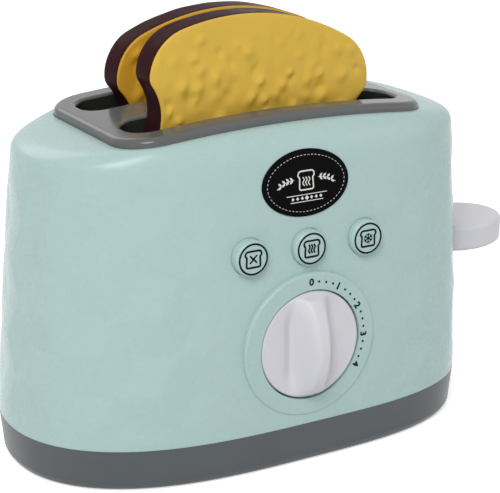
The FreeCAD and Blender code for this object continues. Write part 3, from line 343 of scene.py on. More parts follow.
def make_toast(colour):
    """The slices' faces: golden, with painted shade that deepens the colour towards the foot and over the
    slice in the rear slot.
    """
    material, tree, shader, place = new_tree("toasted_face")
    broad = spread(tree, noise_value(tree, place, 26.0, 3.0, 0.55), 0.0, 1.0)
    golden = blend_colours(tree, broad, shade_of(colour, 0.96), shade_of(colour, 1.04))
    # Painted shade: the colour deepens towards the foot of each face (mask low) and over the whole slice in
    # the rear slot (mask rear).
    painted_shade_tone = (colour[0] * 0.84, colour[1] * 0.68, colour[2] * 0.30)
    parts = tree.nodes.new("ShaderNodeSeparateXYZ")
    tree.links.new(place, parts.inputs["Vector"])
    low = spread(tree, parts.outputs["Z"], 0.12, 0.0, 0.122, 0.142)
    rear = spread(tree, parts.outputs["Y"], 0.0, 0.8, 0.0, 0.004)
    shaded_toast = blend_colours(tree, maths(tree, "MAXIMUM", low, rear), golden, painted_shade_tone)
    tree.links.new(shaded_toast, shader.inputs["Base Color"])
    fine = noise_value(tree, place, 210.0, 4.0, 0.6)
    tree.links.new(spread(tree, fine, 0.36, 0.46), shader.inputs["Roughness"])
    add_bump(tree, shader, noise_value(tree, place, 300.0, 3.0, 0.6), 0.1, 0.0001)
    shader.inputs["Specular IOR Level"].default_value = 0.25
    shader.inputs["Subsurface Weight"].default_value = 0.08
    shader.inputs["Subsurface Radius"].default_value = (1.0, 0.6, 0.25)
    shader.inputs["Subsurface Scale"].default_value = 0.002
    return material


def make_crust(colour):
    """The crust: dark brown, unevenly glossy, with faint redder patches."""
    material, tree, shader, place = new_tree("glossy_crust")
    patch = spread(tree, noise_value(tree, place, 55.0, 4.0, 0.6), 0.0, 1.0)
    redder = (colour[0] * 1.5, colour[1] * 1.25, colour[2] * 1.3)
    tree.links.new(blend_colours(tree, patch, shade_of(colour, 0.8), redder), shader.inputs["Base Color"])
    gloss = noise_value(tree, place, 120.0, 3.0)
    tree.links.new(spread(tree, gloss, 0.24, 0.40), shader.inputs["Roughness"])
    add_bump(tree, shader, noise_value(tree, place, 300.0, 3.0, 0.6), 0.2, 0.0001)
    shader.inputs["Specular IOR Level"].default_value = 0.008
    return material


MATERIALS = {}


def prepare_materials(finishes):
    """Every finish of the toaster, under the name of the record's slot it paints."""
    MATERIALS.clear()
    mint, dark_grey = tuple(finishes.mint), tuple(finishes.dark_grey)
    bezel_grey, white = tuple(finishes.bezel_grey), tuple(finishes.white)
    MATERIALS.update({
        "mint_plastic": moulded_plastic("mint_gloss", mint, 0.27, 0.004, 0.30, 0.006),
        "dark_grey_plastic": moulded_plastic("dark_grey_satin", dark_grey, 0.34, 0.05, 0.3),
        "grey_gloss_plastic": moulded_plastic("bezel_grey_gloss", bezel_grey, 0.16, 0.02, 0.31, 0.02),
        "well_plastic": moulded_plastic("well_charcoal", (0.026, 0.029, 0.022), 0.5, 0.1, 0.05),
        "black_plastic": moulded_plastic("badge_black", (0.005, 0.005, 0.005), 0.30, 0.15, 0.015),
        "white_plastic": moulded_plastic("white_satin", white, 0.38, 0.012, 0.3, 0.05, 0.1),
        "natural_plastic": moulded_plastic("natural_plastic", (0.60, 0.60, 0.56), 0.45, 0.03, 0.3),
        "gear_plastic": moulded_plastic("gear_cream", (0.68, 0.64, 0.50), 0.42, 0.03, 0.3),
        "steel": make_steel(),
        "crust_brown": make_crust(tuple(finishes.crust)),
        "toast_yellow": make_toast(tuple(finishes.toast)),
        "print_black": make_print("print_black", tuple(finishes.print_black)),
        "print_white": make_print("print_white", (0.72, 0.72, 0.70)),
    })


# ---------------------------------------------------------------- mesh helpers
def mesh_piece(name, points, faces, slot, smooth_angle=35.0):
    """A new object from points in millimetres, smooth shaded below an angle."""
    mesh = bpy.data.meshes.new(name)
    mesh.from_pydata([(x * MM, y * MM, z * MM) for x, y, z in points], [], faces)
    mesh.validate()
    return dress(name, mesh, slot, smooth_angle)


def dress(name, mesh, slot, smooth_angle=35.0):
    """An object for a finished mesh, with its material and its shading."""
    mesh.materials.clear()
    mesh.materials.append(MATERIALS[slot])
    mesh.shade_smooth()
    mesh.set_sharp_from_angle(angle=math.radians(smooth_angle))
    piece = bpy.data.objects.new(name, mesh)
    bpy.context.scene.collection.objects.link(piece)
    return piece


def settle(piece, body, nodes=()):
    """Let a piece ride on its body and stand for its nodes."""
    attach(piece, body)
    if nodes:
        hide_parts(*nodes)
    return piece


def grid_faces(columns, rows, wrap_rows=False, start=0):
    """Quads of a grid that closes round its columns, row after row."""
    faces = []
    for r in range(rows if wrap_rows else rows - 1):
        below = start + r * columns
        above = start + ((r + 1) % rows) * columns
        for c in range(columns):
            d = (c + 1) % columns
            faces.append((below + c, below + d, above + d, above + c))
    return faces


def turned(profile, centre, segments=64):
    """A closed solid turned about a line along Y: profile of (radius, y) from front to back."""
    points, faces = [], []
    x0, z0 = centre
    rings = []
    for radius, y in profile:
        if radius <= 0.0:
            rings.append([len(points)])
            points.append((x0, y, z0))
            continue
        ring = []
        for i in range(segments):
            a = TAU * i / segments
            ring.append(len(points))
            points.append((x0 + radius * math.cos(a), y, z0 + radius * math.sin(a)))
        rings.append(ring)
    for first, second in zip(rings, rings[1:]):
        for i in range(segments):
            j = (i + 1) % segments
            if len(first) == 1:
                faces.append((first[0], second[j], second[i]))
            elif len(second) == 1:
                faces.append((first[i], first[j], second[0]))
            else:
                faces.append((first[i], first[j], second[j], second[i]))
    return points, faces


def join_lists(*parts):
    points, faces = [], []
    for some_points, some_faces in parts:
        start = len(points)
        points.extend(some_points)
        faces.extend(tuple(i + start for i in f) for f in some_faces)
    return points, faces


def outward(mesh):
    """Point every face of a closed mesh outwards."""
    bm = bmesh.new()
    bm.from_mesh(mesh)
    bmesh.ops.remove_doubles(bm, verts=bm.verts, dist=1e-7)
    bmesh.ops.recalc_face_normals(bm, faces=bm.faces)
    bm.to_mesh(mesh)
    bm.free()


def arc_points(centre, radius, start, end, count):
    """Points of an arc between two angles in degrees."""
    return [(centre[0] + radius * math.cos(math.radians(start + (end - start) * i / count)),
             centre[1] + radius * math.sin(math.radians(start + (end - start) * i / count)))
            for i in range(count + 1)]


def even_outline(points, count):
    """A closed outline resampled to evenly spaced points, with outward normals."""
    lengths = [0.0]
    closed = points + points[:1]
    for p, q in zip(closed, closed[1:]):
        lengths.append(lengths[-1] + math.dist(p, q))
    total = lengths[-1]
    even, k = [], 0
    for i in range(count):
        s = total * i / count
        while lengths[k + 1] < s:
            k += 1
        part = (s - lengths[k]) / max(lengths[k + 1] - lengths[k], 1e-9)
        even.append(tuple(a + (b - a) * part for a, b in zip(closed[k], closed[k + 1])))
    area = sum(p[0] * q[1] - q[0] * p[1] for p, q in zip(even, even[1:] + even[:1]))
    sign = 1.0 if area > 0 else -1.0
    normals = []
    for i in range(count):
        p, q = even[i - 1], even[(i + 1) % count]
        dx, dz = q[0] - p[0], q[1] - p[1]
        size = math.hypot(dx, dz)
        normals.append((sign * dz / size, -sign * dx / size))
    return even, normals


def ribbon(points, width, closed, lift, back):
    """A flat printed line through points of a plane: (x, z) pairs, with y from lift to back."""
    count = len(points)
    out_points, faces = [], []
    for i in range(count):
        before = points[i - 1] if closed or i > 0 else points[i]
        after = points[(i + 1) % count] if closed or i < count - 1 else points[i]
        dx, dz = after[0] - before[0], after[1] - before[1]
        size = max(math.hypot(dx, dz), 1e-9)
        nx, nz = -dz / size * width / 2.0, dx / size * width / 2.0
        x, z = points[i]
        out_points += [(x + nx, lift, z + nz), (x - nx, lift, z - nz)]
        out_points += [(x - nx, back, z - nz), (x + nx, back, z + nz)]
    for i in range(count if closed else count - 1):
        a, b = 4 * i, 4 * ((i + 1) % count)
        for k in range(4):
            m = (k + 1) % 4
            faces.append((a + k, a + m, b + m, b + k))
    if not closed:
        last = 4 * (count - 1)
        faces += [(3, 2, 1, 0), (last, last + 1, last + 2, last + 3)]
    return out_points, faces


# ---------------------------------------------------------------- node trees for repeated pieces
def tree_with_inputs(name, inputs):
    """An empty geometry tree with named inputs: its nodes, its input node and its output node."""
    tree = bpy.data.node_groups.new(name, "GeometryNodeTree")
    tree.interface.new_socket("Geometry", in_out="OUTPUT", socket_type="NodeSocketGeometry")
    for label, kind, value in inputs:
        socket = tree.interface.new_socket(label, in_out="INPUT", socket_type=kind)
        if value is not None:
            socket.default_value = value
    start = tree.nodes.new("NodeGroupInput")
    end = tree.nodes.new("NodeGroupOutput")
    return tree, start, end


def finish_tree(tree, end, geometry, material):
    """End a tree in Realize Instances and Set Material."""
    realize = tree.nodes.new("GeometryNodeRealizeInstances")
    paint = tree.nodes.new("GeometryNodeSetMaterial")
    paint.inputs["Material"].default_value = material
    tree.links.new(geometry, realize.inputs["Geometry"])
    tree.links.new(realize.outputs["Geometry"], paint.inputs["Geometry"])
    tree.links.new(paint.outputs["Geometry"], end.inputs["Geometry"])


def grow(name, tree, values, slot, smooth_angle=35.0, matrix=None):
    """Run a tree with its inputs set, and keep the result as a plain mesh piece."""
    carrier = bpy.data.objects.new(name + "_carrier", bpy.data.meshes.new(name + "_carrier"))
    bpy.context.scene.collection.objects.link(carrier)
    modifier = carrier.modifiers.new("grow", "NODES")
    modifier.node_group = tree
    for item in tree.interface.items_tree:
        if item.in_out == "INPUT" and item.name in values:
            modifier[item.identifier] = values[item.name]
    depsgraph = bpy.context.evaluated_depsgraph_get()
    mesh = bpy.data.meshes.new_from_object(carrier.evaluated_get(depsgraph))
    if matrix:
        mesh.transform(matrix)
    bpy.data.objects.remove(carrier)
    mesh.name = name
    return dress(name, mesh, slot, smooth_angle)


def maths(tree, operation, first, second=None):
    node = tree.nodes.new("ShaderNodeMath")
    node.operation = operation
    for socket, value in zip(node.inputs, (first, second)):
        if isinstance(value, bpy.types.NodeSocket):
            tree.links.new(value, socket)
        elif value is not None:
            socket.default_value = value
    return node.outputs[0]


def dot_tree(material):
    """Dots on an arc: groups of three between the numbers of the dial."""
    tree, start, end = tree_with_inputs("dial_dots", (
        ("Radius", "NodeSocketFloat", 0.0232), ("Shrink", "NodeSocketFloat", 0.0),
        ("Dot radius", "NodeSocketFloat", 0.0003), ("Count", "NodeSocketInt", 12),
        ("Step", "NodeSocketFloat", math.radians(7.5)), ("Face", "NodeSocketFloat", -0.053)))
    index = tree.nodes.new("GeometryNodeInputIndex").outputs[0]
    group = maths(tree, "FLOOR", maths(tree, "DIVIDE", index, 3.0))
    place = maths(tree, "ADD", maths(tree, "ADD", index, group), 1.0)
    angle = maths(tree, "MULTIPLY", place, start.outputs["Step"])
    drawn = maths(tree, "MULTIPLY", angle, start.outputs["Shrink"])
    radius = maths(tree, "SUBTRACT", start.outputs["Radius"], drawn)
    position = tree.nodes.new("ShaderNodeCombineXYZ")
    tree.links.new(maths(tree, "MULTIPLY", maths(tree, "SINE", angle), radius), position.inputs["X"])
    tree.links.new(start.outputs["Face"], position.inputs["Y"])
    tree.links.new(maths(tree, "MULTIPLY", maths(tree, "COSINE", angle), radius), position.inputs["Z"])
    line = tree.nodes.new("GeometryNodeMeshLine")
    tree.links.new(start.outputs["Count"], line.inputs["Count"])
    move = tree.nodes.new("GeometryNodeSetPosition")
    tree.links.new(line.outputs["Mesh"], move.inputs["Geometry"])
    tree.links.new(position.outputs[0], move.inputs["Position"])
    dot = tree.nodes.new("GeometryNodeMeshCylinder")
    dot.inputs["Vertices"].default_value = 14
    dot.inputs["Depth"].default_value = 0.0001
    tree.links.new(start.outputs["Dot radius"], dot.inputs["Radius"])
    scatter = tree.nodes.new("GeometryNodeInstanceOnPoints")
    scatter.inputs["Rotation"].default_value = (math.pi / 2.0, 0.0, 0.0)
    tree.links.new(move.outputs["Geometry"], scatter.inputs["Points"])
    tree.links.new(dot.outputs["Mesh"], scatter.inputs["Instance"])
    finish_tree(tree, end, scatter.outputs["Instances"], material)
    return tree


def stitch_tree(material):
    """Short stitches that follow an oval, in the oval's own plane."""
    tree, start, end = tree_with_inputs("badge_stitches", (
        ("Half width", "NodeSocketFloat", 0.0155), ("Half height", "NodeSocketFloat", 0.0098),
        ("Count", "NodeSocketInt", 56), ("Length", "NodeSocketFloat", 0.0009),
        ("Thread", "NodeSocketFloat", 0.00024)))
    circle = tree.nodes.new("GeometryNodeCurvePrimitiveCircle")
    circle.inputs["Resolution"].default_value = 256
    circle.inputs["Radius"].default_value = 1.0
    oval = tree.nodes.new("GeometryNodeTransform")
    size = tree.nodes.new("ShaderNodeCombineXYZ")
    tree.links.new(start.outputs["Half width"], size.inputs["X"])
    tree.links.new(start.outputs["Half height"], size.inputs["Y"])
    size.inputs["Z"].default_value = 1.0
    tree.links.new(circle.outputs["Curve"], oval.inputs["Geometry"])
    tree.links.new(size.outputs[0], oval.inputs["Scale"])
    spaced = tree.nodes.new("GeometryNodeCurveToPoints")
    spaced.mode = "COUNT"
    tree.links.new(oval.outputs["Geometry"], spaced.inputs["Curve"])
    tree.links.new(start.outputs["Count"], spaced.inputs["Count"])
    stitch = tree.nodes.new("GeometryNodeMeshCube")
    stitch_size = tree.nodes.new("ShaderNodeCombineXYZ")
    tree.links.new(start.outputs["Thread"], stitch_size.inputs["X"])
    stitch_size.inputs["Y"].default_value = 0.00012
    tree.links.new(start.outputs["Length"], stitch_size.inputs["Z"])
    tree.links.new(stitch_size.outputs[0], stitch.inputs["Size"])
    scatter = tree.nodes.new("GeometryNodeInstanceOnPoints")
    tree.links.new(spaced.outputs["Points"], scatter.inputs["Points"])
    tree.links.new(spaced.outputs["Rotation"], scatter.inputs["Rotation"])
    tree.links.new(stitch.outputs["Mesh"], scatter.inputs["Instance"])
    finish_tree(tree, end, scatter.outputs["Instances"], material)
    return tree


def coil_tree(material):
    """A wound spring along Z, closed at its wire's ends."""
    tree, start, end = tree_with_inputs("wound_spring", (
        ("Turns", "NodeSocketFloat", 8.0), ("Radius", "NodeSocketFloat", 0.0031),
        ("Wire", "NodeSocketFloat", 0.00045), ("Length", "NodeSocketFloat", 0.04)))
    helix = tree.nodes.new("GeometryNodeCurveSpiral")
    helix.inputs["Resolution"].default_value = 28
    tree.links.new(start.outputs["Turns"], helix.inputs["Rotations"])
    tree.links.new(start.outputs["Radius"], helix.inputs["Start Radius"])
    tree.links.new(start.outputs["Radius"], helix.inputs["End Radius"])
    tree.links.new(start.outputs["Length"], helix.inputs["Height"])
    wire = tree.nodes.new("GeometryNodeCurvePrimitiveCircle")
    wire.inputs["Resolution"].default_value = 10
    tree.links.new(start.outputs["Wire"], wire.inputs["Radius"])
    solid = tree.nodes.new("GeometryNodeCurveToMesh")
    solid.inputs["Fill Caps"].default_value = True
    tree.links.new(helix.outputs["Curve"], solid.inputs["Curve"])
    tree.links.new(wire.outputs["Curve"], solid.inputs["Profile Curve"])
    finish_tree(tree, end, solid.outputs["Mesh"], material)
    return tree


# ---------------------------------------------------------------- casing surface
def drawn_in(length, taper, z):
    """A reach of the casing at a height, from its reach at the joint, in millimetres."""
    u = (z - TAPER_FROM_Z) / TAPER_HEIGHT
    return length - taper[0] * u - taper[1] * u * u


def half_plan(x, z, body, inset=0.0):
    """The half of the plan that a place along X lies in: its length, its half width and its powers."""
    half_width = drawn_in(body.half_width * 1000.0, SIDE_TAPER, z) - inset
    if x > 0.0:
        return drawn_in(body.lever_length * 1000.0, LEVER_TAPER, z) - inset, half_width, LEVER_POWERS
    return drawn_in(body.far_length * 1000.0, FAR_TAPER, z) - inset, half_width, FAR_POWERS


def plan_point(t, z, body, inset=0.0):
    """The plan's point at a parameter and a height, drawn in by an inset."""
    c, s = math.cos(t), math.sin(t)
    length, half_width, powers = half_plan(c, z, body, inset)
    return (length * math.copysign(abs(c) ** (2.0 / powers[0]), c),
            half_width * math.copysign(abs(s) ** (2.0 / powers[1]), s))


def plan_normal(x, y, z, body):
    length, half_width, powers = half_plan(x, z, body)
    nx = powers[0] * (abs(x) / length) ** (powers[0] - 1.0) / length * math.copysign(1.0, x)
    ny = powers[1] * (abs(y) / half_width) ** (powers[1] - 1.0) / half_width * math.copysign(1.0, y)
    size = math.hypot(nx, ny)
    return nx / size, ny / size


def ease(value, low, high):
    """Smoothly from 0 to 1 between two limits."""
    s = min(1.0, max(0.0, (value - low) / (high - low)))
    return s * s * (3.0 - 2.0 * s)


def even_angles(body, z):
    """Parameters of plan points that are evenly spaced along the outline, from the front's middle."""
    steps, columns = 7200, body.columns
    angles = [-math.pi / 2.0 + TAU * i / steps for i in range(steps + 1)]
    outline = [plan_point(t, z, body) for t in angles]
    run = [0.0]
    for p, q in zip(outline, outline[1:]):
        run.append(run[-1] + math.dist(p, q))
    chosen, k = [], 0
    for i in range(columns):
        s = run[-1] * i / columns
        while run[k + 1] < s:
            k += 1
        part = (s - run[k]) / max(run[k + 1] - run[k], 1e-9)
        chosen.append((angles[k] + (angles[k + 1] - angles[k]) * part, s))
    return chosen, run[-1]


def facet_corner(column, row):
    """Height of a corner of the facet pattern: out, level or in, in turn."""
    return ((column - row) % 3) - 1.0


def facet_height(s, z, pitch):
    """Height of the facet pattern, from -1 to 1, at a run along the outline and a height."""
    row = (z - FACET_ROW_Z) / FACET_ROW_HEIGHT
    r = math.floor(row)
    v = row - r
    u = s / pitch - 0.5 * r - 0.5 * v
    q = math.floor(u)
    w = u - q
    beside, above = facet_corner(q + 1, r), facet_corner(q, r + 1)
    if w + v <= 1.0:
        return facet_corner(q, r) * (1.0 - w - v) + beside * w + above * v
    return facet_corner(q + 1, r + 1) * (w + v - 1.0) + beside * (1.0 - v) + above * (1.0 - w)


def crown_z(x):
    return CROWN_Z - CROWN_FALL * x * x


def rim_point(x, y, outset=0.0):
    """The nearest point of the bezel's outline, and the direction out of it."""
    cx = min(BEZEL_CORE_X, max(-BEZEL_CORE_X, x))
    cy = min(BEZEL_CORE_Y, max(-BEZEL_CORE_Y, y))
    dx, dy = x - cx, y - cy
    size = max(math.hypot(dx, dy), 1e-9)
    dx, dy = dx / size, dy / size
    reach = BEZEL_CORNER + outset - BEZEL_BOW * dy * dy * (cx / BEZEL_CORE_X) ** 2
    return cx + dx * reach, cy + dy * reach, dx, dy


def casing_columns(body):
    """Every column of the casing's closed wall, outside and inside, in millimetres."""
    chosen, around = even_angles(body, FACET_MEASURE_Z)
    count = max(3, 3 * round(around / (body.facet_pitch * 1000.0) / 3.0))
    pitch = around / count
    depth = body.facet_depth * 1000.0
    plain = body.plain_half * 1000.0
    wall_rows, shoulder_rows, inner_rows = 102, 24, 8
    rim_from_z, rim_gap, ceiling = 112.0, 0.08, 2.0
    joint_inset, joint_rise = 0.1, 0.5
    lip_depth, lip_step = 1.3, 0.1
    columns = []
    for t, s in chosen:
        top_x, top_y = plan_point(t, rim_from_z, body)
        rim_x, rim_y, dx, dy = rim_point(top_x, top_y, rim_gap)
        start_z = SHOULDER_Z_FRONT + (SHOULDER_Z_END - SHOULDER_Z_FRONT) * dx * dx
        end_z = crown_z(rim_x)
        column = []
        for k in range(wall_rows + 1):
            z = JOINT_Z + (start_z - JOINT_Z) * k / wall_rows
            x, y = plan_point(t, z, body)
            nx, ny = plan_normal(x, y, z, body)
            strength = ease(z, *FACET_LOW_Z) * (1.0 - ease(z, FACET_HIGH_Z, start_z))
            if y < 0.0:
                strength *= ease(abs(x), plain, plain + PLAIN_FADE)
            if x > 0.0:
                strength *= ease(abs(y), LEVER_TRACK_HALF, LEVER_TRACK_HALF + TRACK_FADE)
            h = depth * strength * facet_height(s, z, pitch)
            h -= joint_inset * (1.0 - ease(z, JOINT_Z, JOINT_Z + joint_rise))
            column.append((x + nx * h, y + ny * h, z))
        for k in range(1, shoulder_rows + 1):
            turn = math.pi / 2.0 * k / shoulder_rows
            out = max(math.cos(turn), 0.0) ** (2.0 / SHOULDER_POWER)
            up = math.sin(turn) ** (2.0 / SHOULDER_POWER)
            z = start_z + (end_z - start_z) * up
            x, y = plan_point(t, z, body)
            column.append((rim_x + (x - rim_x) * out, rim_y + (y - rim_y) * out, z))
        seat_z = end_z - BEZEL_SEAT
        column.append((rim_x, rim_y, seat_z))
        lip_x, lip_y = rim_x - dx * BEZEL_INSET, rim_y - dy * BEZEL_INSET
        column.append((lip_x, lip_y, seat_z))
        column.append((lip_x, lip_y, seat_z - lip_depth))
        low_z = seat_z - lip_depth - lip_step
        for k in range(inner_rows + 1):
            turn = math.pi / 2.0 * (1.0 - k / inner_rows)
            out = max(math.cos(turn), 0.0)
            z = start_z - ceiling + (low_z - start_z + ceiling) * math.sin(turn)
            x, y = plan_point(t, z, body, WALL)
            column.append((rim_x + (x - rim_x) * out, rim_y + (y - rim_y) * out, z))
        for k in range(1, inner_rows + 1):
            z = start_z - ceiling + (JOINT_Z - start_z + ceiling) * k / inner_rows
            column.append((*plan_point(t, z, body, WALL), z))
        columns.append(column)
    return columns


def front_surface_y(x, z, body):
    """Where the casing's smooth front lies, shoulder included, in millimetres."""
    length, half_width, powers = half_plan(x, z, body)
    wall = half_width * (1.0 - min(abs(x) / length, 0.999) ** powers[0]) ** (1.0 / powers[1])
    if z <= SHOULDER_Z_FRONT:
        return -wall
    rim = BEZEL_CORE_Y + BEZEL_CORNER
    up = min(1.0, (z - SHOULDER_Z_FRONT) / (crown_z(x) - SHOULDER_Z_FRONT))
    out = (1.0 - up ** SHOULDER_POWER) ** (1.0 / SHOULDER_POWER)
    return -(rim + (wall - rim) * out)


def apply_boolean(piece, other, operation):
    """Join another solid to a piece, or cut it away, and drop the other."""
    modifier = piece.modifiers.new(operation.lower(), "BOOLEAN")
    modifier.operation = operation
    modifier.solver = "EXACT"
    modifier.object = other
    depsgraph = bpy.context.evaluated_depsgraph_get()
    mesh = bpy.data.meshes.new_from_object(piece.evaluated_get(depsgraph))
    piece.modifiers.clear()
    piece.data = mesh
    bpy.data.objects.remove(other)


def slot_cutter():
    """The rounded slot in the casing's end that the lever's stem runs in."""
    low, high, half, corner = 27.0, 66.8, 4.2, 1.5
    inner_x, outer_x = 82.0, 100.0
    side, top, foot = half - corner, high - corner, low + corner
    outline = []
    for turn, (y, z) in enumerate(((side, top), (-side, top), (-side, foot), (side, foot))):
        outline += arc_points((y, z), corner, 90 * turn, 90 * turn + 90, 6)
    count = len(outline)
    points = [(x, y, z) for x in (inner_x, outer_x) for y, z in outline]
    faces = [(i, (i + 1) % count, count + (i + 1) % count, count + i) for i in range(count)]
    faces += [tuple(reversed(range(count))), tuple(range(count, 2 * count))]
    return points, faces


def round_cutter(radius, back_y, centre, segments):
    """A round bar along Y that reaches from before the casing to a depth."""
    front_y = -60.0
    return turned([(0.0, front_y), (radius, front_y), (radius, back_y), (0.0, back_y)], centre, segments)


def post_tube(x, y, low, high, outer, inner):
    """An upright screw post with its pilot hole."""
    segments = 28
    points = []
    for radius, z in ((outer, low), (outer, high), (inner, high), (inner, low)):
        for i in range(segments):
            a = TAU * i / segments
            points.append((x + radius * math.cos(a), y + radius * math.sin(a), z))
    return points, grid_faces(segments, 4, wrap_rows=True)


class TOASTER_OT_casing(bpy.types.Operator):
    """Build the faceted casing with its dial seat, button holes and lever slot"""
    bl_idname = "toaster.casing"
    bl_label = "Casing"

    def execute(self, context):
        body = context.scene.toaster_body
        columns = casing_columns(body)
        rows = len(columns[0])
        points = [columns[c][r] for r in range(rows) for c in range(len(columns))]
        shell = mesh_piece("casing", points, grid_faces(len(columns), rows, wrap_rows=True), "mint_plastic")
        outward(shell.data)

        ring = context.scene.toaster_dial.ring_radius * 1000.0
        edge, seat_back_y = 0.9, -48.5
        profile = [(0.0, RING_FACE_Y), (ring * 0.96, RING_FACE_Y)]
        profile += arc_points((ring - edge, RING_FACE_Y + edge), edge, -90, 0, 9)
        profile += [(ring, seat_back_y), (0.0, seat_back_y)]
        seat = mesh_piece("dial_seat", *turned(profile, (0.0, DIAL_Z), 144), "mint_plastic")
        outward(seat.data)
        apply_boolean(shell, seat, "UNION")

        knob = context.scene.toaster_dial.knob_radius * 1000.0
        cap = context.scene.toaster_buttons.radius * 1000.0
        knob_gap, cap_gap = 0.5, 0.14
        holes = [round_cutter(knob + knob_gap, -40.0, (0.0, DIAL_Z), 144)]
        holes += [round_cutter(cap + cap_gap, -42.0, (side * BUTTON_PITCH, BUTTON_Z), 72)
                  for side in (-1, 0, 1)]
        holes.append(slot_cutter())
        cutter = mesh_piece("casing_cutter", *join_lists(*holes), "mint_plastic")
        outward(cutter.data)
        apply_boolean(shell, cutter, "DIFFERENCE")

        post_x, post_y, post_low, post_high, post_radius, pilot_radius = 66.0, 30.0, 14.0, 64.0, 4.4, 1.5
        posts = [post_tube(sx * post_x, sy * post_y, post_low, post_high, post_radius, pilot_radius)
                 for sx in (-1, 1) for sy in (-1, 1)]
        inner = mesh_piece("casing_posts", *join_lists(*posts), "mint_plastic")
        outward(inner.data)
        mesh = bmesh.new()
        mesh.from_mesh(shell.data)
        mesh.from_mesh(inner.data)
        mesh.to_mesh(shell.data)
        mesh.free()
        bpy.data.objects.remove(inner)
        shell.data.materials.clear()
        shell.data.materials.append(MATERIALS["mint_plastic"])
        shell.data.shade_smooth()
        shell.data.set_sharp_from_angle(angle=math.radians(38.0))
        settle(shell, "housing", ("body_shell",))
        return {"FINISHED"}


# ---------------------------------------------------------------- badge
def badge_rings(badge, body, proud, sunk):
    """The oval badge as a closed plate that follows the casing's front, with a rolled edge."""
    segments, roll = 128, 0.45
    half_w, half_h = badge.half_width * 1000.0, badge.half_height * 1000.0
    points, faces = [], []

    def ring(scale, shrink, offset):
        for i in range(segments):
            a = TAU * i / segments
            x = (half_w - shrink) * scale * math.cos(a)
            z = BADGE_Z + (half_h - shrink) * scale * math.sin(a)
            points.append((x, front_surface_y(x, z, body) - offset, z))

    points.append((0.0, front_surface_y(0.0, BADGE_Z, body) - proud, BADGE_Z))
    steps = 10
    for k in range(1, steps + 1):
        ring(k / steps, roll, proud)
    for a in (30, 60, 90):
        r = math.radians(a)
        ring(1.0, roll * (1.0 - math.sin(r)), proud - roll * (1.0 - math.cos(r)))
    ring(1.0, 0.0, -sunk)
    last = len(points) - segments
    for i in range(segments):
        faces.append((0, 1 + i, 1 + (i + 1) % segments))
    for r in range((last - 1) // segments):
        for i in range(segments):
            j = (i + 1) % segments
            p = 1 + r * segments
            faces.append((p + i, p + segments + i, p + segments + j, p + j))
    faces.append(tuple(reversed(range(last, last + segments))))
    return points, faces


def on_badge(points, body, offset):
    """Lay flat prints on the badge: y is measured from its face."""
    return [(x, front_surface_y(x, z, body) - offset + y, z) for x, y, z in points]


def toast_icon(half_width, height):
    """The outline of a small slice: two lobes on a narrower body."""
    h, w = height / 2.0, half_width
    r = height * 0.19
    outline = arc_points((w - r, h - r), r, -60, 90, 8)
    outline += arc_points((r - w, h - r), r, 90, 240, 8)
    foot = 0.10 * height
    waist = w * 0.86
    outline += arc_points((foot - waist, foot - h), foot, 180, 270, 5)
    outline += arc_points((waist - foot, foot - h), foot, 270, 360, 5)
    return outline


def badge_line(points, width, closed=False):
    """A printed line of the badge, in the badge's own plane."""
    return ribbon(points, width, closed, -PRINT_HALF, PRINT_HALF)


def badge_slice():
    """The badge's small slice, with three waves of heat on it."""
    outline, _ = even_outline(toast_icon(3.3, 6.6), 90)
    lines = [badge_line([(x, z + 1.1) for x, z in outline], 0.5, True)]
    for side in (-1, 0, 1):
        heights = [-1.7 + 3.2 * i / 16 for i in range(17)]
        wave = [(side * 1.15 + 0.32 * math.sin(2.6 * z), z + 0.8) for z in heights]
        lines.append(badge_line(wave, 0.36))
    return lines


def badge_sprigs():
    """A drooping sprig of paired leaves on either side of the slice."""
    lines = []
    root_x, root_z, leaf_pitch, droop = 5.4, 1.6, 1.55, 0.16
    for side in (-1, 1):
        for k in range(4):
            base = (side * (root_x + leaf_pitch * k), root_z - droop * k * k)
            for lean in (-1, 1):
                tip = (base[0] + side * 1.25, base[1] + lean * 1.15)
                leaf, _ = even_outline(leaf_outline(base, tip, 0.36), 20)
                lines.append(flat_patch(leaf, -PRINT_HALF, PRINT_HALF))
        stem = [(side * (4.9 + 7.0 * i / 12), 1.66 - droop * (4.0 * i / 12) ** 2) for i in range(13)]
        lines.append(badge_line(stem, 0.22))
    return lines


def badge_rule():
    """Two fine rules with a row of diamonds between them."""
    lines = []
    for z, reach in ((-3.9, 8.2), (-6.3, 6.6)):
        lines.append(badge_line([(-reach + reach * i / 10.0, z) for i in range(21)], 0.26))
    row_z, pitch, small, large = -5.1, 1.9, 0.62, 0.85
    for k in range(-3, 4):
        x, size = k * pitch, small if k else large
        diamond = [(x, row_z + size), (x + size, row_z), (x, row_z - size), (x - size, row_z)]
        lines.append(flat_patch(diamond, -PRINT_HALF, PRINT_HALF))
    return lines


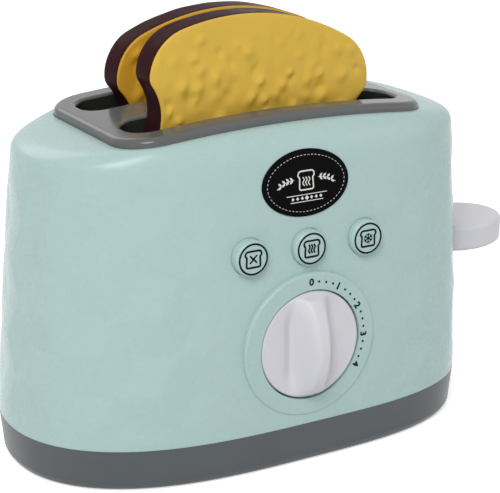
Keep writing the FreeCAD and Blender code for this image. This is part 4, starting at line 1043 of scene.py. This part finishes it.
class TOASTER_OT_badge(bpy.types.Operator):
    """Build the black oval badge with its stitched border and a plain slice ornament"""
    bl_idname = "toaster.badge"
    bl_label = "Badge"

    def execute(self, context):
        badge, body = context.scene.toaster_badge, context.scene.toaster_body
        plate = mesh_piece("oval_badge", *badge_rings(badge, body, BADGE_PROUD, 0.5), "black_plastic", 50.0)
        outward(plate.data)
        settle(plate, "housing", ("front_badge",))

        values = {"Half width": badge.half_width - 0.0020, "Half height": badge.half_height - 0.0019,
                  "Count": badge.stitches, "Length": 0.00070, "Thread": 0.00016}
        stitches = grow("badge_stitching", stitch_tree(MATERIALS["print_white"]), values, "print_white")
        for vertex in stitches.data.vertices:
            x, z, depth = vertex.co.x * 1000.0, BADGE_Z + vertex.co.y * 1000.0, vertex.co.z * 1000.0
            vertex.co = (x * MM, (front_surface_y(x, z, body) - BADGE_PRINT_PROUD - depth) * MM, z * MM)
        outward(stitches.data)
        settle(stitches, "housing")

        lines = badge_slice() + badge_sprigs() + badge_rule()
        points, faces = join_lists(*lines)
        points = on_badge([(x, y, z + BADGE_Z) for x, y, z in points], body, BADGE_PRINT_PROUD)
        print_piece = mesh_piece("badge_print", points, faces, "print_white")
        outward(print_piece.data)
        settle(print_piece, "housing")
        return {"FINISHED"}


def leaf_outline(root, tip, half):
    """A pointed leaf between two points."""
    dx, dz = tip[0] - root[0], tip[1] - root[1]
    size = math.hypot(dx, dz)
    nx, nz = -dz / size * half, dx / size * half
    def edge(side, steps):
        return [(root[0] + dx * k / 8 + side * nx * math.sin(math.pi * k / 8),
                 root[1] + dz * k / 8 + side * nz * math.sin(math.pi * k / 8)) for k in steps]

    return edge(1.0, range(9)) + edge(-1.0, range(7, 0, -1))


def flat_patch(outline, lift, back):
    """A flat closed patch on an outline of (x, z) pairs."""
    count = len(outline)
    points = [(x, lift, z) for x, z in outline] + [(x, back, z) for x, z in outline]
    faces = [tuple(range(count)), tuple(reversed(range(count, 2 * count)))]
    faces += [(i, count + i, count + (i + 1) % count, (i + 1) % count) for i in range(count)]
    return points, faces


# ---------------------------------------------------------------- dial
def knob_height(x, z, dial):
    """Height of the knob's face over its disc: an arched grip between two scooped finger rests."""
    radius = dial.knob_radius * 1000.0
    full = dial.grip_height * 1000.0
    arch_radius = 26.0
    arch = full - arch_radius + math.sqrt(max(arch_radius ** 2 - z * z, 0.0))
    arch *= 1.0 - ease(abs(z), 17.6, 19.9)
    foot, ridge, soft, level_soft = 7.2, 2.6, 0.20, 0.12
    across = (foot - abs(x)) / (foot - ridge)
    ramp = 0.5 * (across + math.sqrt(across * across + soft * soft)) - 0.02
    ramp = max(0.0, min(ramp, 1.2))
    top = 1.0 - 0.03 * (x / ridge) ** 2
    level = -level_soft * math.log(math.exp(-ramp / level_soft) + math.exp(-top / level_soft))
    grip = max(arch, 0.0) * max(level, 0.0)
    scoop_depth, scoop_x, scoop_width = 1.3, 7.6, 2.3
    scoop = scoop_depth * math.exp(-((abs(x) - scoop_x) / scoop_width) ** 2)
    scoop *= 1.0 - ease(abs(z), 8.0, 16.5)
    rim = radius - math.hypot(x, z)
    if rim < KNOB_EDGE:
        grip *= math.sqrt(max(0.0, 1.0 - ((KNOB_EDGE - rim) / KNOB_EDGE) ** 2)) * 0.7 + 0.3
    return grip - scoop


class TOASTER_OT_knob(bpy.types.Operator):
    """Build the white dial knob with its arched grip"""
    bl_idname = "toaster.knob"
    bl_label = "Dial knob"

    def execute(self, context):
        dial = context.scene.toaster_dial
        radius = dial.knob_radius * 1000.0
        segments, rings = 240, 84
        points = [(0.0, KNOB_FACE_Y - knob_height(0.0, 0.0, dial), DIAL_Z)]
        for k in range(1, rings + 1):
            part = k / rings
            r = (radius - KNOB_EDGE) * part
            for i in range(segments):
                a = TAU * i / segments
                x, z = r * math.cos(a), r * math.sin(a)
                points.append((x, KNOB_FACE_Y - knob_height(x, z, dial), DIAL_Z + z))
        for degrees in (15, 30, 45, 60, 75, 90):
            t = math.radians(degrees)
            r = radius - KNOB_EDGE + KNOB_EDGE * math.sin(t)
            for i in range(segments):
                a = TAU * i / segments
                x, z = r * math.cos(a), r * math.sin(a)
                grip = knob_height(x, z, dial) * (1.0 if degrees < 90 else 0.6)
                points.append((x, KNOB_FACE_Y - grip + KNOB_EDGE - KNOB_EDGE * math.cos(t), DIAL_Z + z))
        rows = rings + 6
        back_y, boss_y, socket_y = -48.8, -48.45, -50.3
        boss_radius, socket_radius = 6.0, 2.5
        back = ((radius, back_y), (boss_radius, back_y), (boss_radius, boss_y),
                (socket_radius, boss_y), (socket_radius, socket_y))
        for r, y in back:
            for i in range(segments):
                a = TAU * i / segments
                points.append((r * math.cos(a), y, DIAL_Z + r * math.sin(a)))
            rows += 1
        faces = [(0, 1 + i, 1 + (i + 1) % segments) for i in range(segments)]
        faces += grid_faces(segments, rows, start=1)
        last = 1 + (rows - 1) * segments
        faces.append(tuple(range(last, last + segments)))
        knob = mesh_piece("dial_knob", points, faces, "white_plastic", 60.0)
        outward(knob.data)
        settle(knob, "dial", ("timer_knob",))
        return {"FINISHED"}


class TOASTER_OT_dial_print(bpy.types.Operator):
    """Print the numbers and dots of the dial on its seat"""
    bl_idname = "toaster.dial_print"
    bl_label = "Dial numbers"

    def execute(self, context):
        dial = context.scene.toaster_dial
        dots = grow("dial_dots", dot_tree(MATERIALS["print_black"]),
                    {"Radius": 0.0237, "Shrink": 0.00078, "Dot radius": dial.dot_radius, "Count": 12,
                     "Step": math.radians(7.5), "Face": RING_FACE_Y * MM},
                    "print_black", 35.0, Matrix.Translation((0.0, 0.0, DIAL_Z * MM)))
        settle(dots, "housing")
        places = ((0.0, 23.7), (29.0, 23.2), (59.5, 22.7), (90.0, 22.4), (120.0, 22.5))
        parts = []
        for number, (degrees, radius) in enumerate(places):
            text = bpy.data.curves.new("numeral", "FONT")
            text.body = str(number)
            text.align_x = "CENTER"
            text.extrude = 0.01
            text.offset = 0.038
            holder = bpy.data.objects.new("numeral", text)
            bpy.context.scene.collection.objects.link(holder)
            bpy.context.view_layer.update()
            depsgraph = bpy.context.evaluated_depsgraph_get()
            mesh = bpy.data.meshes.new_from_object(holder.evaluated_get(depsgraph))
            bpy.data.objects.remove(holder)
            low = Vector([min(v.co[k] for v in mesh.vertices) for k in range(3)])
            high = Vector([max(v.co[k] for v in mesh.vertices) for k in range(3)])
            scale = dial.numeral_height / (high.y - low.y)
            turn = math.radians(degrees)
            centre = (low + high) / 2.0
            for vertex in mesh.vertices:
                p = (vertex.co - centre) * scale
                along, up = p.x * 1.12, p.y
                x = math.cos(turn) * along + math.sin(turn) * up + radius * MM * math.sin(turn)
                z = -math.sin(turn) * along + math.cos(turn) * up + radius * MM * math.cos(turn)
                y = RING_FACE_Y * MM + math.copysign(0.00005, -p.z)
                vertex.co = (x, y, z + DIAL_Z * MM)
            parts.append(mesh)
        joined = bmesh.new()
        for mesh in parts:
            joined.from_mesh(mesh)
        result = bpy.data.meshes.new("dial_numbers")
        joined.to_mesh(result)
        joined.free()
        outward(result)
        numbers = dress("dial_numbers", result, "print_black", 30.0)
        settle(numbers, "housing")
        return {"FINISHED"}


# ---------------------------------------------------------------- push buttons
def cross_lines(size):
    """A cross of two lines."""
    return [([(-size, -size), (size, size)], 0.95), ([(-size, size), (size, -size)], 0.95)]


def heat_lines():
    """Three upright waves of heat."""
    heights = [-1.7 + 3.4 * i / 18 for i in range(19)]
    return [([(side * 1.05 + 0.26 * math.sin(2.6 * z), z) for z in heights], 1.0) for side in (-1, 0, 1)]


def flake_lines(size):
    """A snowflake: six arms, each with a pair of short branches."""
    lines = []
    for k in range(6):
        a = math.radians(30 + 60 * k)
        c, s = math.cos(a), math.sin(a)
        lines.append(([(0.0, 0.0), (size * c, size * s)], 0.62))
        root = (0.52 * size * c, 0.52 * size * s)
        for lean in (-1, 1):
            b = a + lean * math.radians(48)
            tip = (root[0] + 0.46 * size * math.cos(b), root[1] + 0.46 * size * math.sin(b))
            lines.append(([root, tip], 0.52))
    return lines


class TOASTER_OT_buttons(bpy.types.Operator):
    """Build the three push buttons with their printed rings and icons"""
    bl_idname = "toaster.buttons"
    bl_label = "Push buttons"

    def execute(self, context):
        buttons = context.scene.toaster_buttons
        radius, width = buttons.radius * 1000.0, buttons.line_width * 1000.0
        kinds = (("left", -1, cross_lines(1.4)), ("middle", 0, heat_lines()), ("right", 1, flake_lines(1.95)))
        for name, side, drawing in kinds:
            x0 = side * BUTTON_PITCH
            profile = [(0.0, BUTTON_FACE_Y), (radius - BUTTON_EDGE, BUTTON_FACE_Y)]
            corner = (radius - BUTTON_EDGE, BUTTON_FACE_Y + BUTTON_EDGE)
            profile += arc_points(corner, BUTTON_EDGE, -75, 0, 5)
            flange, flange_y, flange_back_y, stem, stem_y = radius + 1.4, -45.2, -44.0, 2.0, -34.8
            profile += [(radius, flange_y), (flange, flange_y), (flange, flange_back_y)]
            profile += [(stem, flange_back_y), (stem, stem_y), (0.0, stem_y)]
            cap = mesh_piece("cap_" + name, *turned(profile, (x0, BUTTON_Z), 96), "mint_plastic", 40.0)
            outward(cap.data)
            settle(cap, name + "_button", ("button_" + name,))
            lift, back = BUTTON_FACE_Y - 0.05, BUTTON_FACE_Y + 0.05
            reach = buttons.ring_radius * 1000.0
            ring = [(reach * math.cos(TAU * i / 96), reach * math.sin(TAU * i / 96)) for i in range(96)]
            parts = [ribbon(ring, width, True, lift, back)]
            outline, _ = even_outline(toast_icon(3.2, 5.9), 96)
            parts.append(ribbon(outline, width * 1.1, True, lift, back))
            for line, weight in drawing:
                parts.append(ribbon(line, width * weight, False, lift, back))
            points, faces = join_lists(*parts)
            points = [(x + x0, y, z + BUTTON_Z) for x, y, z in points]
            mark = mesh_piece("mark_" + name, points, faces, "print_black")
            outward(mark.data)
            settle(mark, name + "_button")
        return {"FINISHED"}


# ---------------------------------------------------------------- slices
def slice_outline(count):
    """The slice's outline, its crown at the origin, as even points with outward normals."""
    shoulder_x = SLICE_HALF - SLICE_SHOULDER
    shoulder_z = -SLICE_CROWN + math.sqrt((SLICE_CROWN - SLICE_SHOULDER) ** 2 - shoulder_x ** 2)
    turn = math.degrees(math.atan2(shoulder_z + SLICE_CROWN, shoulder_x))
    cheek_x, neck_x = SLICE_HALF - SLICE_CHEEK, SLICE_NECK_HALF + SLICE_NECK
    neck_z = shoulder_z - math.sqrt((SLICE_CHEEK + SLICE_NECK) ** 2 - (neck_x - cheek_x) ** 2)
    fall = math.degrees(math.atan2(neck_z - shoulder_z, neck_x - cheek_x))
    foot_x, foot_z = SLICE_NECK_HALF - SLICE_FOOT, SLICE_FOOT - SLICE_HEIGHT
    right = arc_points((0.0, -SLICE_CROWN), SLICE_CROWN, 90.0, turn, 14)
    right += arc_points((shoulder_x, shoulder_z), SLICE_SHOULDER, turn, 0.0, 24)[1:]
    right += arc_points((cheek_x, shoulder_z), SLICE_CHEEK, 0.0, fall, 12)[1:]
    right += arc_points((neck_x, neck_z), SLICE_NECK, 180.0 + fall, 180.0, 16)[1:]
    right += [(SLICE_NECK_HALF, neck_z + (foot_z - neck_z) * k / 9.0) for k in range(1, 9)]
    right += arc_points((foot_x, foot_z), SLICE_FOOT, 0.0, -90.0, 8)
    left = [(-x, z) for x, z in reversed(right) if x > 1e-6]
    return even_outline(right + left, count)


def blisters(size, seed):
    """Blisters and dents, one to a cell of a grid: centre, radius, stretch, height and slant."""
    pick = random.Random(seed)
    cells = {}
    for column in range(-8, 9):
        for row in range(-14, 1):
            x = (column + pick.uniform(-0.4, 0.4)) * size
            z = (row + pick.uniform(-0.4, 0.4)) * size
            radius = size * pick.uniform(0.20, 0.38)
            height = pick.choice((1.0, 0.8, 0.5, -0.7, 0.15)) * ease(-z, 3.0, 14.0)
            stretch, slant = pick.uniform(0.9, 1.5), pick.uniform(-0.35, 0.35)
            cells[column, row] = (x, z, radius, stretch, height, slant)
    return cells


def soft_bumps(x, z, size, cells, seed):
    """Height of the slice's uneven surface, from about -1 to 1: round blisters on broad soft waves."""
    column, row = round(x / size), round(z / size)
    height = 0.3 * noise.noise(Vector((x / 15.0, z / 15.0, seed)))
    for i in (column - 1, column, column + 1):
        for j in (row - 1, row, row + 1):
            cx, cz, radius, stretch, rise, slant = cells.get((i, j), (0.0, 0.0, 1.0, 1.0, 0.0, 0.0))
            dx, dz = x - cx - slant * (z - cz), (z - cz) / stretch
            height += rise * math.exp(-(dx * dx + dz * dz) / (radius * radius))
    return height


def slice_place(point, x, y, top, lean):
    """Move a slice's point into its well, leaning a little."""
    a = math.radians(lean)
    px, py, pz = point
    return (px * math.cos(a) + pz * math.sin(a) + x, py + y, -px * math.sin(a) + pz * math.cos(a) + top)


def crust_mesh(seed, half):
    """The crust as a closed rim between the faces: almost flat outside, with slightly uneven edges."""
    outline, normals = slice_outline(340)
    side = half - RIM_Y
    edge = 0.5
    section = [(-3.2, 1.6 - half), (-1.2, 1.6 - half), (-1.2, -side), (-0.7, -side)]
    section += [(-edge + edge * math.sin(math.radians(a)), edge - side - edge * math.cos(math.radians(a)))
                for a in (0, 30, 60, 90)]
    section += [(0.0, y * side) for y in (-0.55, -0.2, 0.2, 0.55)]
    section += [(-edge + edge * math.cos(math.radians(a)), side - edge + edge * math.sin(math.radians(a)))
                for a in (0, 30, 60, 90)]
    section += [(-0.7, side), (-1.2, side), (-1.2, half - 1.6), (-3.2, half - 1.6)]
    points = []
    for inset, y in section:
        for (px, pz), (nx, nz) in zip(outline, normals):
            waver = 0.14 * noise.noise(Vector((px / 7.0, pz / 7.0, seed + y * 0.25)))
            shift = inset + (waver - 0.14 if inset > -0.6 else 0.0)
            points.append((px + nx * shift, y, pz + nz * shift))
    return points, grid_faces(len(outline), len(section), wrap_rows=True)


def face_mesh(side, seed, half, bump, size):
    """One bumpy face with a rounded rim that reaches over the crust, and the plug behind it."""
    count, rings = 340, 64
    outline, normals = slice_outline(count)
    rim_inset = 0.1 if side < 0 else 0.9
    edge = [(px - nx * rim_inset, pz - nz * rim_inset) for (px, pz), (nx, nz) in zip(outline, normals)]
    cells = blisters(size, seed)
    proud, roll = half + 0.5, 0.75
    points = []
    for k in range(rings + 1):
        part = k / rings
        for px, pz in edge:
            cx, cz = max(-26.0, min(26.0, px * 0.7)), -38.0
            part_out = part ** 0.8
            x, z = cx + (px - cx) * part_out, cz + (pz - cz) * part_out
            away = (1.0 - part_out) * math.dist((px, pz), (cx, cz))
            rim = max(0.0, 1.0 - away / roll)
            h = proud - 0.6 * (1.0 - math.sqrt(1.0 - rim * rim)) - 0.15 * (1.0 - ease(away, 0.0, 4.0))
            h += bump * soft_bumps(x, z, size, cells, seed) * ease(away, 0.2, 4.0)
            points.append((x, side * h, z))
    for inset, y in ((rim_inset, half - RIM_Y + 0.02), (1.25, half - RIM_Y + 0.02), (1.25, half - 1.55)):
        points += [(px - nx * inset, side * y, pz - nz * inset)
                   for (px, pz), (nx, nz) in zip(outline, normals)]
    faces = grid_faces(count, rings + 4)
    last = (rings + 3) * count
    faces.append(tuple(range(last, last + count)))
    return points, faces


class TOASTER_OT_slices(bpy.types.Operator):
    """Build both toast slices: glossy crusts and bumpy faces"""
    bl_idname = "toaster.slices"
    bl_label = "Toast slices"

    def execute(self, context):
        slices = context.scene.toaster_slices
        half = slices.thickness * 500.0
        bump, size = slices.bump_height * 1000.0, slices.bump_size * 1000.0
        front_y, rear_y = SLICE_SET_BACK - SLOT_Y, SLICE_SET_BACK + SLOT_Y
        places = (  # name, middle x and y, crown height, lean in degrees, seed
            ("front_slice", -0.2, front_y, 161.2, 7.4, 11.0),
            ("rear_slice", 2.0, rear_y, 157.6, -0.4, 42.0),
        )
        for name, x, y, top, lean, seed in places:
            points, faces = crust_mesh(seed, half)
            crust = mesh_piece(name + "_rim", [slice_place(p, x, y, top, lean) for p in points], faces,
                               "crust_brown", 60.0)
            outward(crust.data)
            settle(crust, name, (name + "_crust",))
            for side, which in ((-1, "front"), (1, "rear")):
                points, faces = face_mesh(side, seed + 5.0 * side, half, bump, size)
                face = mesh_piece(name + "_crumb_" + which, [slice_place(p, x, y, top, lean) for p in points],
                                  faces, "toast_yellow", 60.0)
                outward(face.data)
                settle(face, name, (name + "_face_" + which,))
        return {"FINISHED"}


# ---------------------------------------------------------------- springs
def wind(name, tree, turns, width, length, wire, place):
    """One spring of a width and a length, in metres, in place of its plain solid."""
    values = {"Turns": turns, "Radius": width / 2.0 - wire, "Wire": wire, "Length": length - 2.0 * wire}
    coil = grow(name + "_coil", tree, values, "steel", 60.0, place)
    outward(coil.data)
    return settle(coil, "housing", (name,))


class TOASTER_OT_springs(bpy.types.Operator):
    """Wind the lift springs under the lever and the small springs behind the buttons"""
    bl_idname = "toaster.springs"
    bl_label = "Springs"

    def execute(self, context):
        tree = coil_tree(MATERIALS["steel"])
        lift_wire, lift_travel = 0.00045, 0.028
        for name in ("lift_spring_front", "lift_spring_rear"):
            low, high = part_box(name)
            centre = (low + high) / 2.0
            place = Matrix.Translation((centre.x, centre.y, low.z + lift_wire))
            coil = wind(name, tree, 8.0, high.x - low.x, high.z - low.z, lift_wire, place)
            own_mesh(coil)
        button_wire, button_travel = 0.0003, 0.002
        for side in ("left", "middle", "right"):
            name = "button_spring_" + side
            low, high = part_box(name)
            centre = (low + high) / 2.0
            place = Matrix.Translation((centre.x, high.y - button_wire, centre.z))
            place = place @ Matrix.Rotation(math.pi / 2.0, 4, "X")
            coil = wind(name, tree, 5.0, high.x - low.x, high.y - low.y, button_wire, place)
            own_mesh(coil)
        return {"FINISHED"}


# ---------------------------------------------------------------- carried-over pieces
class TOASTER_OT_finish_frame(bpy.types.Operator):
    """Give every piece of the frame its finish, and paint shade on the bezel's own walls inside the slots"""
    bl_idname = "toaster.finish_frame"
    bl_label = "Frame finishes"

    def execute(self, context):
        prepare_materials(context.scene.toaster_finishes)
        for part in frame["record"]["subparts"]:
            piece = frame["nodes"][part["node"]]
            piece.data.materials.clear()
            piece.data.materials.append(MATERIALS[part["material_slot"]])
        bezel = frame["nodes"]["top_bezel"]
        # Painted shade: the bezel's grey walls inside the slots take the dark well material, standing in for
        # the shade that falls there.
        bezel.data.materials.append(MATERIALS["well_plastic"])
        for face in bezel.data.polygons:
            x, y = face.center.x / MM, face.center.y / MM
            in_shaded_slot = abs(x) < SLOT_HALF_LENGTH and abs(abs(y) - SLOT_Y) < SLOT_HALF_WIDTH
            if in_shaded_slot and abs(face.normal.z) < 0.25:
                face.material_index = 1
        return {"FINISHED"}


# ---------------------------------------------------------------- stage
class TOASTER_OT_stage(bpy.types.Operator):
    """Set the floor, the soft lights and the camera"""
    bl_idname = "toaster.stage"
    bl_label = "Stage"

    def execute(self, context):
        scene = context.scene
        floor = bpy.data.meshes.new("floor")
        reach, drop = 4.0, 0.0001
        corners = ((-reach, -reach), (reach, -reach), (reach, reach), (-reach, reach))
        floor.from_pydata([(x, y, -drop) for x, y in corners], [], [(0, 1, 2, 3)])
        ground = bpy.data.objects.new("floor", floor)
        scene.collection.objects.link(ground)
        floor.materials.append(pale_floor())
        scene.world = pale_world()
        target = Vector((0.0, 0.0, 0.08))
        lamps = (  # name, place, disc size, power
            ("key", (-1.2, -1.4, 1.95), 1.2, 39.0),
            ("fill", (1.9, -1.3, 1.0), 1.6, 4.0),
            ("back", (-0.3, 1.9, 1.6), 1.4, 9.0),
        )
        for name, place, size, power in lamps:
            light = bpy.data.lights.new(name, "AREA")
            light.shape = "DISK"
            light.size = size
            light.energy = power
            lamp = bpy.data.objects.new(name, light)
            lamp.location = place
            lamp.rotation_euler = (target - Vector(place)).to_track_quat("-Z", "Y").to_euler()
            scene.collection.objects.link(lamp)
        lens = bpy.data.cameras.new("camera")
        lens.lens = 118.73
        lens.sensor_width = 36.0
        lens.sensor_fit = "HORIZONTAL"
        lens.clip_start = 0.01
        camera = bpy.data.objects.new("camera", lens)
        camera.location = (-0.291566, -0.516516, 0.264962)
        look_down, look_aside = 0.32020, 0.52184
        camera.rotation_euler = (math.pi / 2.0 - look_down, 0.0, -look_aside)
        scene.collection.objects.link(camera)
        scene.camera = camera
        scene.view_settings.view_transform = "Standard"
        return {"FINISHED"}


def seen_ray(tree):
    """1 for rays that show the backdrop itself: straight, mirrored or through glass."""
    path = tree.nodes.new("ShaderNodeLightPath")
    both = maths(tree, "MAXIMUM", path.outputs["Is Camera Ray"], path.outputs["Is Glossy Ray"])
    return maths(tree, "MAXIMUM", both, path.outputs["Is Transmission Ray"])


def pale_floor():
    """A white floor that keeps the object's shadow."""
    material = bpy.data.materials.new("pale_floor")
    material.use_nodes = True
    tree = material.node_tree
    tree.nodes.clear()
    output = tree.nodes.new("ShaderNodeOutputMaterial")
    matt = tree.nodes.new("ShaderNodeBsdfDiffuse")
    matt.inputs["Color"].default_value = (0.86, 0.87, 0.87, 1.0)
    glow = tree.nodes.new("ShaderNodeEmission")
    glow.inputs["Color"].default_value = (1.0, 1.0, 1.0, 1.0)
    tree.links.new(maths(tree, "MULTIPLY", seen_ray(tree), 0.55), glow.inputs["Strength"])
    both = tree.nodes.new("ShaderNodeAddShader")
    tree.links.new(matt.outputs[0], both.inputs[0])
    tree.links.new(glow.outputs[0], both.inputs[1])
    tree.links.new(both.outputs[0], output.inputs["Surface"])
    return material


def pale_world():
    """Soft light from all sides, white where it is seen."""
    world = bpy.data.worlds.new("pale_world")
    world.use_nodes = True
    tree = world.node_tree
    tree.nodes.clear()
    output = tree.nodes.new("ShaderNodeOutputWorld")
    sky = tree.nodes.new("ShaderNodeBackground")
    sky.inputs["Color"].default_value = (1.0, 1.0, 1.0, 1.0)
    strength = maths(tree, "ADD", maths(tree, "MULTIPLY", seen_ray(tree), 0.58), 0.42)
    tree.links.new(strength, sky.inputs["Strength"])
    tree.links.new(sky.outputs[0], output.inputs["Surface"])
    return world


# ---------------------------------------------------------------- panel and start
STEPS = (
    TOASTER_OT_finish_frame, TOASTER_OT_casing, TOASTER_OT_badge, TOASTER_OT_knob, TOASTER_OT_dial_print,
    TOASTER_OT_buttons, TOASTER_OT_slices, TOASTER_OT_springs, TOASTER_OT_stage,
)


class TOASTER_PT_pieces(bpy.types.Panel):
    """Lists the toaster's pieces"""
    bl_idname = "TOASTER_PT_pieces"
    bl_label = "Toy toaster"
    bl_space_type = "VIEW_3D"
    bl_region_type = "UI"
    bl_category = "Toy toaster"

    def draw(self, context):
        for name, group in SETTINGS:
            column = self.layout.box().column()
            for label in group.__annotations__:
                column.prop(getattr(context.scene, name), label)
        for step in STEPS:
            self.layout.operator(step.bl_idname)


def register():
    for name, group in SETTINGS:
        bpy.utils.register_class(group)
        setattr(bpy.types.Scene, name, bpy.props.PointerProperty(type=group))
    for step in STEPS:
        bpy.utils.register_class(step)
    bpy.utils.register_class(TOASTER_PT_pieces)


def unregister():
    bpy.utils.unregister_class(TOASTER_PT_pieces)
    for step in reversed(STEPS):
        bpy.utils.unregister_class(step)
    for name, group in reversed(SETTINGS):
        delattr(bpy.types.Scene, name)
        bpy.utils.unregister_class(group)


def main():
    register()
    bpy.ops.toaster.finish_frame()
    bpy.ops.toaster.casing()
    bpy.ops.toaster.badge()
    bpy.ops.toaster.knob()
    bpy.ops.toaster.dial_print()
    bpy.ops.toaster.buttons()
    bpy.ops.toaster.slices()
    bpy.ops.toaster.springs()
    bpy.ops.toaster.stage()


if __name__ == "__main__":
    main()
